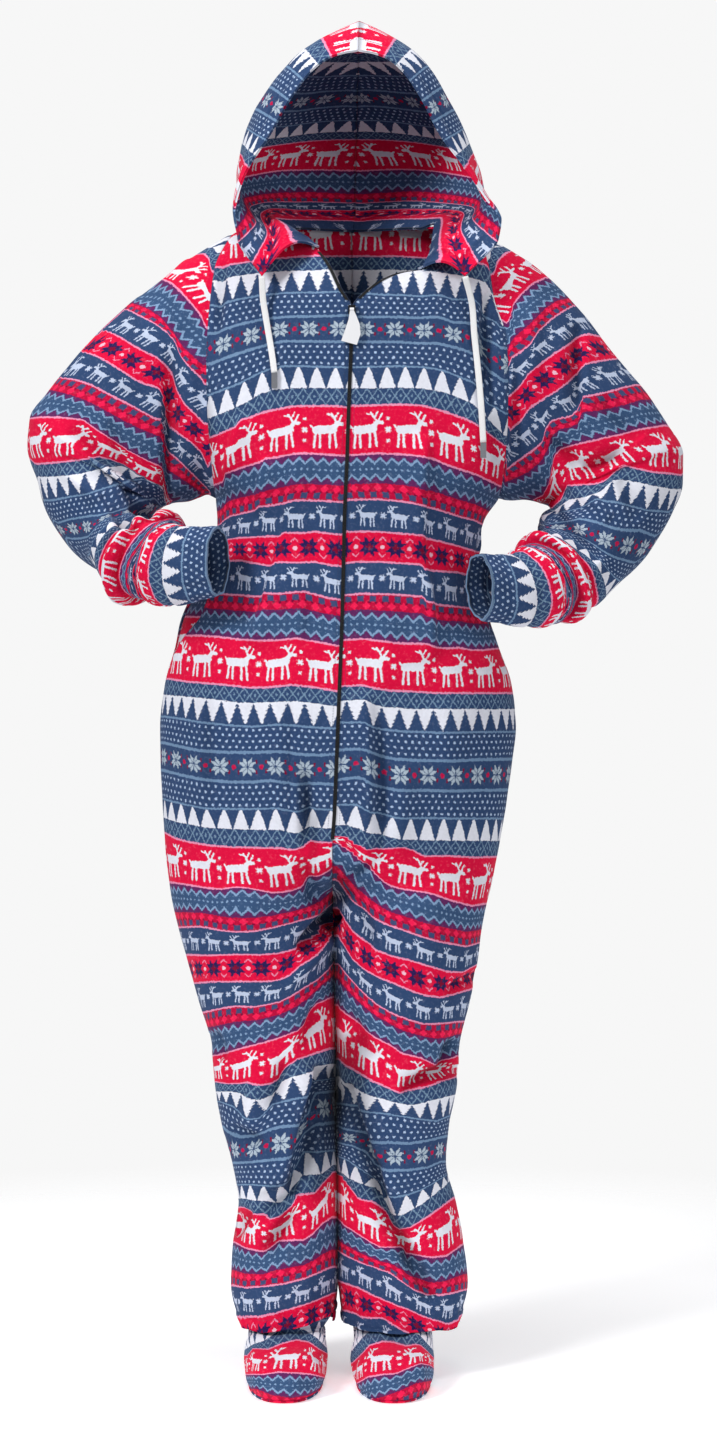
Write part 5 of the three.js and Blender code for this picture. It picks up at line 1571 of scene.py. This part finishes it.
def repeated(name, parts, size, finish, body="garment"):
    """One mesh of a small shape repeated at every place in parts."""
    P, way, up = (np.concatenate([p[q] for p in parts]) for q in range(3))
    mesh = bpy.data.meshes.new(name)
    mesh.from_pydata((P * MM).tolist(), [], [])
    for label, values in (("along", way), ("outward", up)):
        mesh.attributes.new(label, "FLOAT_VECTOR", "POINT").data.foreach_set("vector", values.ravel())
    obj = bpy.data.objects.new(name, mesh)
    bpy.context.scene.collection.objects.link(obj)
    modifier = obj.modifiers.new("repeat", "NODES")
    modifier.node_group = REPEAT_TREE
    sockets = {s.name: s.identifier for s in REPEAT_TREE.interface.items_tree if s.in_out == "INPUT"}
    for label, value in zip(("Length", "Width", "Height"), size):
        modifier[sockets[label]] = value * MM
    modifier[sockets["Finish"]] = finish
    bpy.context.view_layer.update()
    made = bpy.data.meshes.new_from_object(obj.evaluated_get(bpy.context.evaluated_depsgraph_get()))
    obj.modifiers.remove(modifier)
    for label in ("along", "outward"):
        if label in made.attributes:
            made.attributes.remove(made.attributes[label])
    made.name = name
    obj.data = made
    if not made.materials:
        made.materials.append(finish)
    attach(obj, body)
    return obj


def inset_line(Q, N, distance, first=0, last=None, far=False):
    """Line across a grid's rows at a fixed distance from its first or last column."""
    part = slice(first, last)
    Q, N = Q[part], N[part]
    along = arc_along(Q)
    if far:
        along = along[:, -1:] - along
        Q, N, along = Q[:, ::-1], N[:, ::-1], along[:, ::-1]
    line, ups = [], []
    for r in range(len(Q)):
        line.append([np.interp(distance, along[r], Q[r, :, q]) for q in range(3)])
        ups.append([np.interp(distance, along[r], N[r, :, q]) for q in range(3)])
    return np.array(line), unit(np.array(ups))


seams = []
zip_rows = (row_steps > row_of(-737)) & (row_steps < LOWER_ROWS + ZIP_TOP_ROW + 0.2)
neck_rows = (row_steps > LOWER_ROWS + ZIP_TOP_ROW + 0.1) & (row_steps < LOWER_ROWS + HOOD_ROW - 0.1)
for side in SIDES:
    Q, N = FALL[side, -1]
    rows = np.flatnonzero(zip_rows)
    line, ups = inset_line(Q, N, 6.5, rows[0], rows[-1] + 1)
    seams.append(step_along(line + ups * 0.1, ups, 3.2))
    z = level_of(row_steps)
    rows = np.flatnonzero((z > -556) & (z < -360) & (row_steps < LOWER_ROWS))
    line, ups = inset_line(Q, N, 6.0, rows[0], rows[-1] + 1, far=True)
    seams.append(step_along(line + ups * 0.1, ups, 3.2))
    for face in (-1, 1):
        Q, N = FALL[side, face]
        level = int(np.argmin(np.abs(z - (HEM_Z + 17))))
        seams.append(step_along(Q[level] + N[level] * 0.2, N[level], 3.4))
    Q, N, along = HOOD_FORM[side]
    line, ups = inset_line(Q, N, 24.5, 8)
    seams.append(step_along(line + ups * 0.2, ups, 3.2))
repeated("seam_stitches", seams, (2.5, 0.55, 0.5), THREAD)

# Closed zip: woven tape with a coil tooth from each side in turn
rows = np.flatnonzero((row_steps > row_of(-737)) & (row_steps < LOWER_ROWS + ZIP_TOP_ROW - 0.12))
centre = (FALL[-1, -1][0][rows, 0] + FALL[1, -1][0][rows, 0]) / 2
front = np.array([0.0, -1, 0])


def tape(name, line, half, near, far, across=None):
    """Narrow closed strip along a line, from near to far in front of it."""
    side_way = np.array([1.0, 0, 0]) if across is None else across
    corners = [line + side_way * half + front * near, line + side_way * half * 0.96 + front * far,
               line - side_way * half * 0.96 + front * far, line - side_way * half + front * near]
    verts = np.stack(corners, 1).reshape(-1, 3)
    n = len(line)
    faces = []
    for r in range(n - 1):
        for c in range(4):
            d = (c + 1) % 4
            faces.append([4 * r + c, 4 * r + d, 4 * r + 4 + d, 4 * r + 4 + c])
    faces += [[0, 3, 2, 1], [4 * n - 4, 4 * n - 3, 4 * n - 2, 4 * n - 1]]
    obj = mesh_object(name, verts, faces, smooth=False)
    b = bmesh.new()
    b.from_mesh(obj.data)
    bmesh.ops.recalc_face_normals(b, faces=b.faces)
    b.to_mesh(obj.data)
    b.free()
    obj.data.materials.append(TAPE)
    return obj


closed = tape("zip_tape_closed", centre, 2.3, 0.9, 1.9)
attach(closed, "garment")
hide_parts("zip_chain_closed")
teeth = []
place, way, up = step_along(centre + front * 2.0, np.tile(front, (len(centre), 1)), 0.95)
across = unit(np.cross(up, way))
shift = np.where(np.arange(len(place)) % 2 == 0, 0.75, -0.75)[:, None]
teeth.append((place + across * shift, across, up))
for side in SIDES:
    Q, N = FALL[side, -1]
    rows = np.flatnonzero((row_steps > LOWER_ROWS + ZIP_TOP_ROW + 0.2)
                          & (row_steps < LOWER_ROWS + ZIP_TOP_ROW + 2.92))
    line, ups = inset_line(Q, N, 2.6, rows[0], rows[-1] + 1)
    open_tape = tape("zip_tape_open_%s" % SIDES[side], line + ups * 0.2, 2.0, 0.6, 1.6)
    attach(open_tape, "garment")
    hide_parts("zip_chain_open_%s" % SIDES[side])
    place, way, up = step_along(line + front * 1.9, np.tile(front, (len(line), 1)), 1.9)
    across = unit(np.cross(up, way))
    teeth.append((place, across, up))
repeated("zip_coil_teeth", teeth, (2.6, 0.8, 0.9), COIL)

# Drawstring ends: flat plaited cord hanging from the hood's casing
CORD_ROUTE = {-1: """
-108 -78 14
-105 -98 8
-101 -122 5
-97 -146 5
-94 -168 5
""", 1: """
146 -84 16
149 -122 7
153 -160 5
157 -205 5
160 -252 5
"""}


def front_y(side, x, z):
    row, s = np.meshgrid(np.linspace(0, 14, 500), np.linspace(0, 1, 240), indexing="ij")
    P = upper_point(side, row, s, -1)
    nearest = np.argmin((P[..., 0] - x) ** 2 + (P[..., 2] - z) ** 2)
    return P.reshape(-1, 3)[nearest, 1]


def smooth_line(points, count):
    pts = np.array(points, float)
    ends = np.concatenate([[2 * pts[0] - pts[1]], pts, [2 * pts[-1] - pts[-2]]])
    out = []
    for i in range(len(pts) - 1):
        A, B, C, D = ends[i:i + 4]
        for f in np.linspace(0, 1, 16, endpoint=False):
            out.append(0.5 * (2 * B + (C - A) * f + (2 * A - 5 * B + 4 * C - D) * f**2
                              + (3 * B - A - 3 * C + D) * f**3))
    out = np.array(out + [pts[-1]])
    gone = np.concatenate([[0], np.cumsum(np.linalg.norm(np.diff(out, axis=0), axis=1))])
    t = np.linspace(0, gone[-1], count)
    return np.stack([np.interp(t, gone, out[:, q]) for q in range(3)], 1), gone[-1]


for side in SIDES:
    exit_point = hood_point(side, np.array(0.1), np.array(0.0)) + np.array([0, -0.6, -0.7])
    pts = [exit_point]
    for line in CORD_ROUTE[side].strip().splitlines():
        x, z, off = (float(v) for v in line.split())
        pts.append(np.array([x, front_y(side, x, z) - off, z]))
    line, length = smooth_line(pts, 60)
    way = unit(np.gradient(line, axis=0))
    across = unit(np.cross(way, front))
    across = np.where(across[:, :1] < 0, -across, across)
    up = unit(np.cross(across, way))
    up = np.where(up[:, 1:2] > 0, -up, up)
    section = []
    for q in range(12):
        ang = 2 * PI * q / 12
        c, d = math.cos(ang), math.sin(ang)
        section.append((3.8 * np.sign(c) * abs(c) ** 0.5, 1.1 * np.sign(d) * abs(d) ** 0.7))
    verts = np.stack([line + across * a + up * b for a, b in section], 1)
    n = len(line)
    i, j = np.meshgrid(np.arange(n - 1), np.arange(12), indexing="ij")
    i, j = i.ravel(), j.ravel()
    quad = np.stack([i * 12 + j, i * 12 + (j + 1) % 12, (i + 1) * 12 + (j + 1) % 12, (i + 1) * 12 + j], 1)
    widths = np.array([a for a, b in section] + [section[0][0]])
    run = np.linspace(0, length, n)
    uv = np.stack([np.stack([widths[j], run[i]], 1), np.stack([widths[j + 1], run[i]], 1),
                   np.stack([widths[j + 1], run[i + 1]], 1), np.stack([widths[j], run[i + 1]], 1)], 1)
    obj = mesh_object("drawstring_%s_braid" % SIDES[side], verts.reshape(-1, 3), quad, uv)
    b = bmesh.new()
    b.from_mesh(obj.data)
    bmesh.ops.holes_fill(b, edges=[e for e in b.edges if e.is_boundary], sides=0)
    bmesh.ops.recalc_face_normals(b, faces=b.faces)
    b.to_mesh(obj.data)
    b.free()
    obj.data.materials.append(BRAID)
    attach(obj, "garment")
    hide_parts("drawstring_%s" % SIDES[side])
    tuple(pts[0] * MM)
    [tuple(p * MM) for p in line]

# Cloth pieces ride on the garment and stand for their solids
for name, (obj, nodes, cut, held, area) in PIECES.items():
    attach(obj, "garment")
    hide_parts(*nodes)

# Fittings kept from the solids, with their own finishes
for node, finish in (("zip_slider", PAINT), ("pull_tab", RIBBON), ("cord_tip_left", METAL),
                     ("cord_tip_right", METAL)):
    kept = bpy.data.objects[node]
    kept.data.materials.clear()
    kept.data.materials.append(finish)

# Plain pale floor and soft studio light
floor_finish = plain("pale_floor", colour(250, 250, 250), 0.9, grain=60.0, vary=0.02)
floor = mesh_object("floor", [[-9000, -9000, SOLE_Z - 0.2], [9000, -9000, SOLE_Z - 0.2],
                              [9000, 9000, SOLE_Z - 0.2], [-9000, 9000, SOLE_Z - 0.2]], [[0, 1, 2, 3]],
                    smooth=False)
floor_shader = floor_finish.node_tree.nodes["Principled BSDF"]
floor_shader.inputs["Emission Color"].default_value = (1, 1, 1, 1)
floor_shader.inputs["Emission Strength"].default_value = 0.40
floor_maker = Finish.__new__(Finish)
floor_maker.material, floor_maker.nodes = floor_finish, floor_finish.node_tree.nodes
floor_maker.links = floor_finish.node_tree.links
floor_x, floor_y, _ = floor_maker.parts(floor_maker.place())
away = (floor_x * floor_x + floor_y * floor_y).root()
floor_maker.put(floor_shader.inputs["Alpha"], (1 - (away - 0.75) / 0.9).high(0).low(1))
floor.data.materials.append(floor_finish)
floor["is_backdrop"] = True
world = bpy.data.worlds.new("studio")
world.use_nodes = True
sky = world.node_tree.nodes
glow, seen_wall = sky["Background"], sky.new("ShaderNodeBackground")
glow.inputs["Color"].default_value, glow.inputs["Strength"].default_value = (0.95, 0.96, 1, 1), 0.36
seen_wall.inputs["Color"].default_value, seen_wall.inputs["Strength"].default_value = (1, 1, 1, 1), 0.93
both, path = sky.new("ShaderNodeMixShader"), sky.new("ShaderNodeLightPath")
for source, target in ((path.outputs["Is Camera Ray"], both.inputs[0]), (glow.outputs[0], both.inputs[1]),
                       (seen_wall.outputs[0], both.inputs[2]),
                       (both.outputs[0], sky["World Output"].inputs["Surface"])):
    world.node_tree.links.new(source, target)
bpy.context.scene.world = world
for label, place, size, power in (("key", (-2700, -2900, 2000), 1300, 135),
                                  ("fill", (2600, -3000, 200), 1800, 30),
                                  ("top", (200, -500, 2800), 1600, 48)):
    lamp = bpy.data.lights.new(label, "AREA")
    lamp.shape, lamp.size, lamp.energy = "DISK", size * MM, power
    light = bpy.data.objects.new(label, lamp)
    bpy.context.scene.collection.objects.link(light)
    light.location = np.array(place) * MM
    light.rotation_euler = (Vector((0, 0, -0.5)) - light.location).to_track_quat("-Z", "Y").to_euler()

as_lists = lambda box: [[float(v) for v in corner] for corner in box]
{"cad": as_lists(cad_box), "visual": as_lists(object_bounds())}
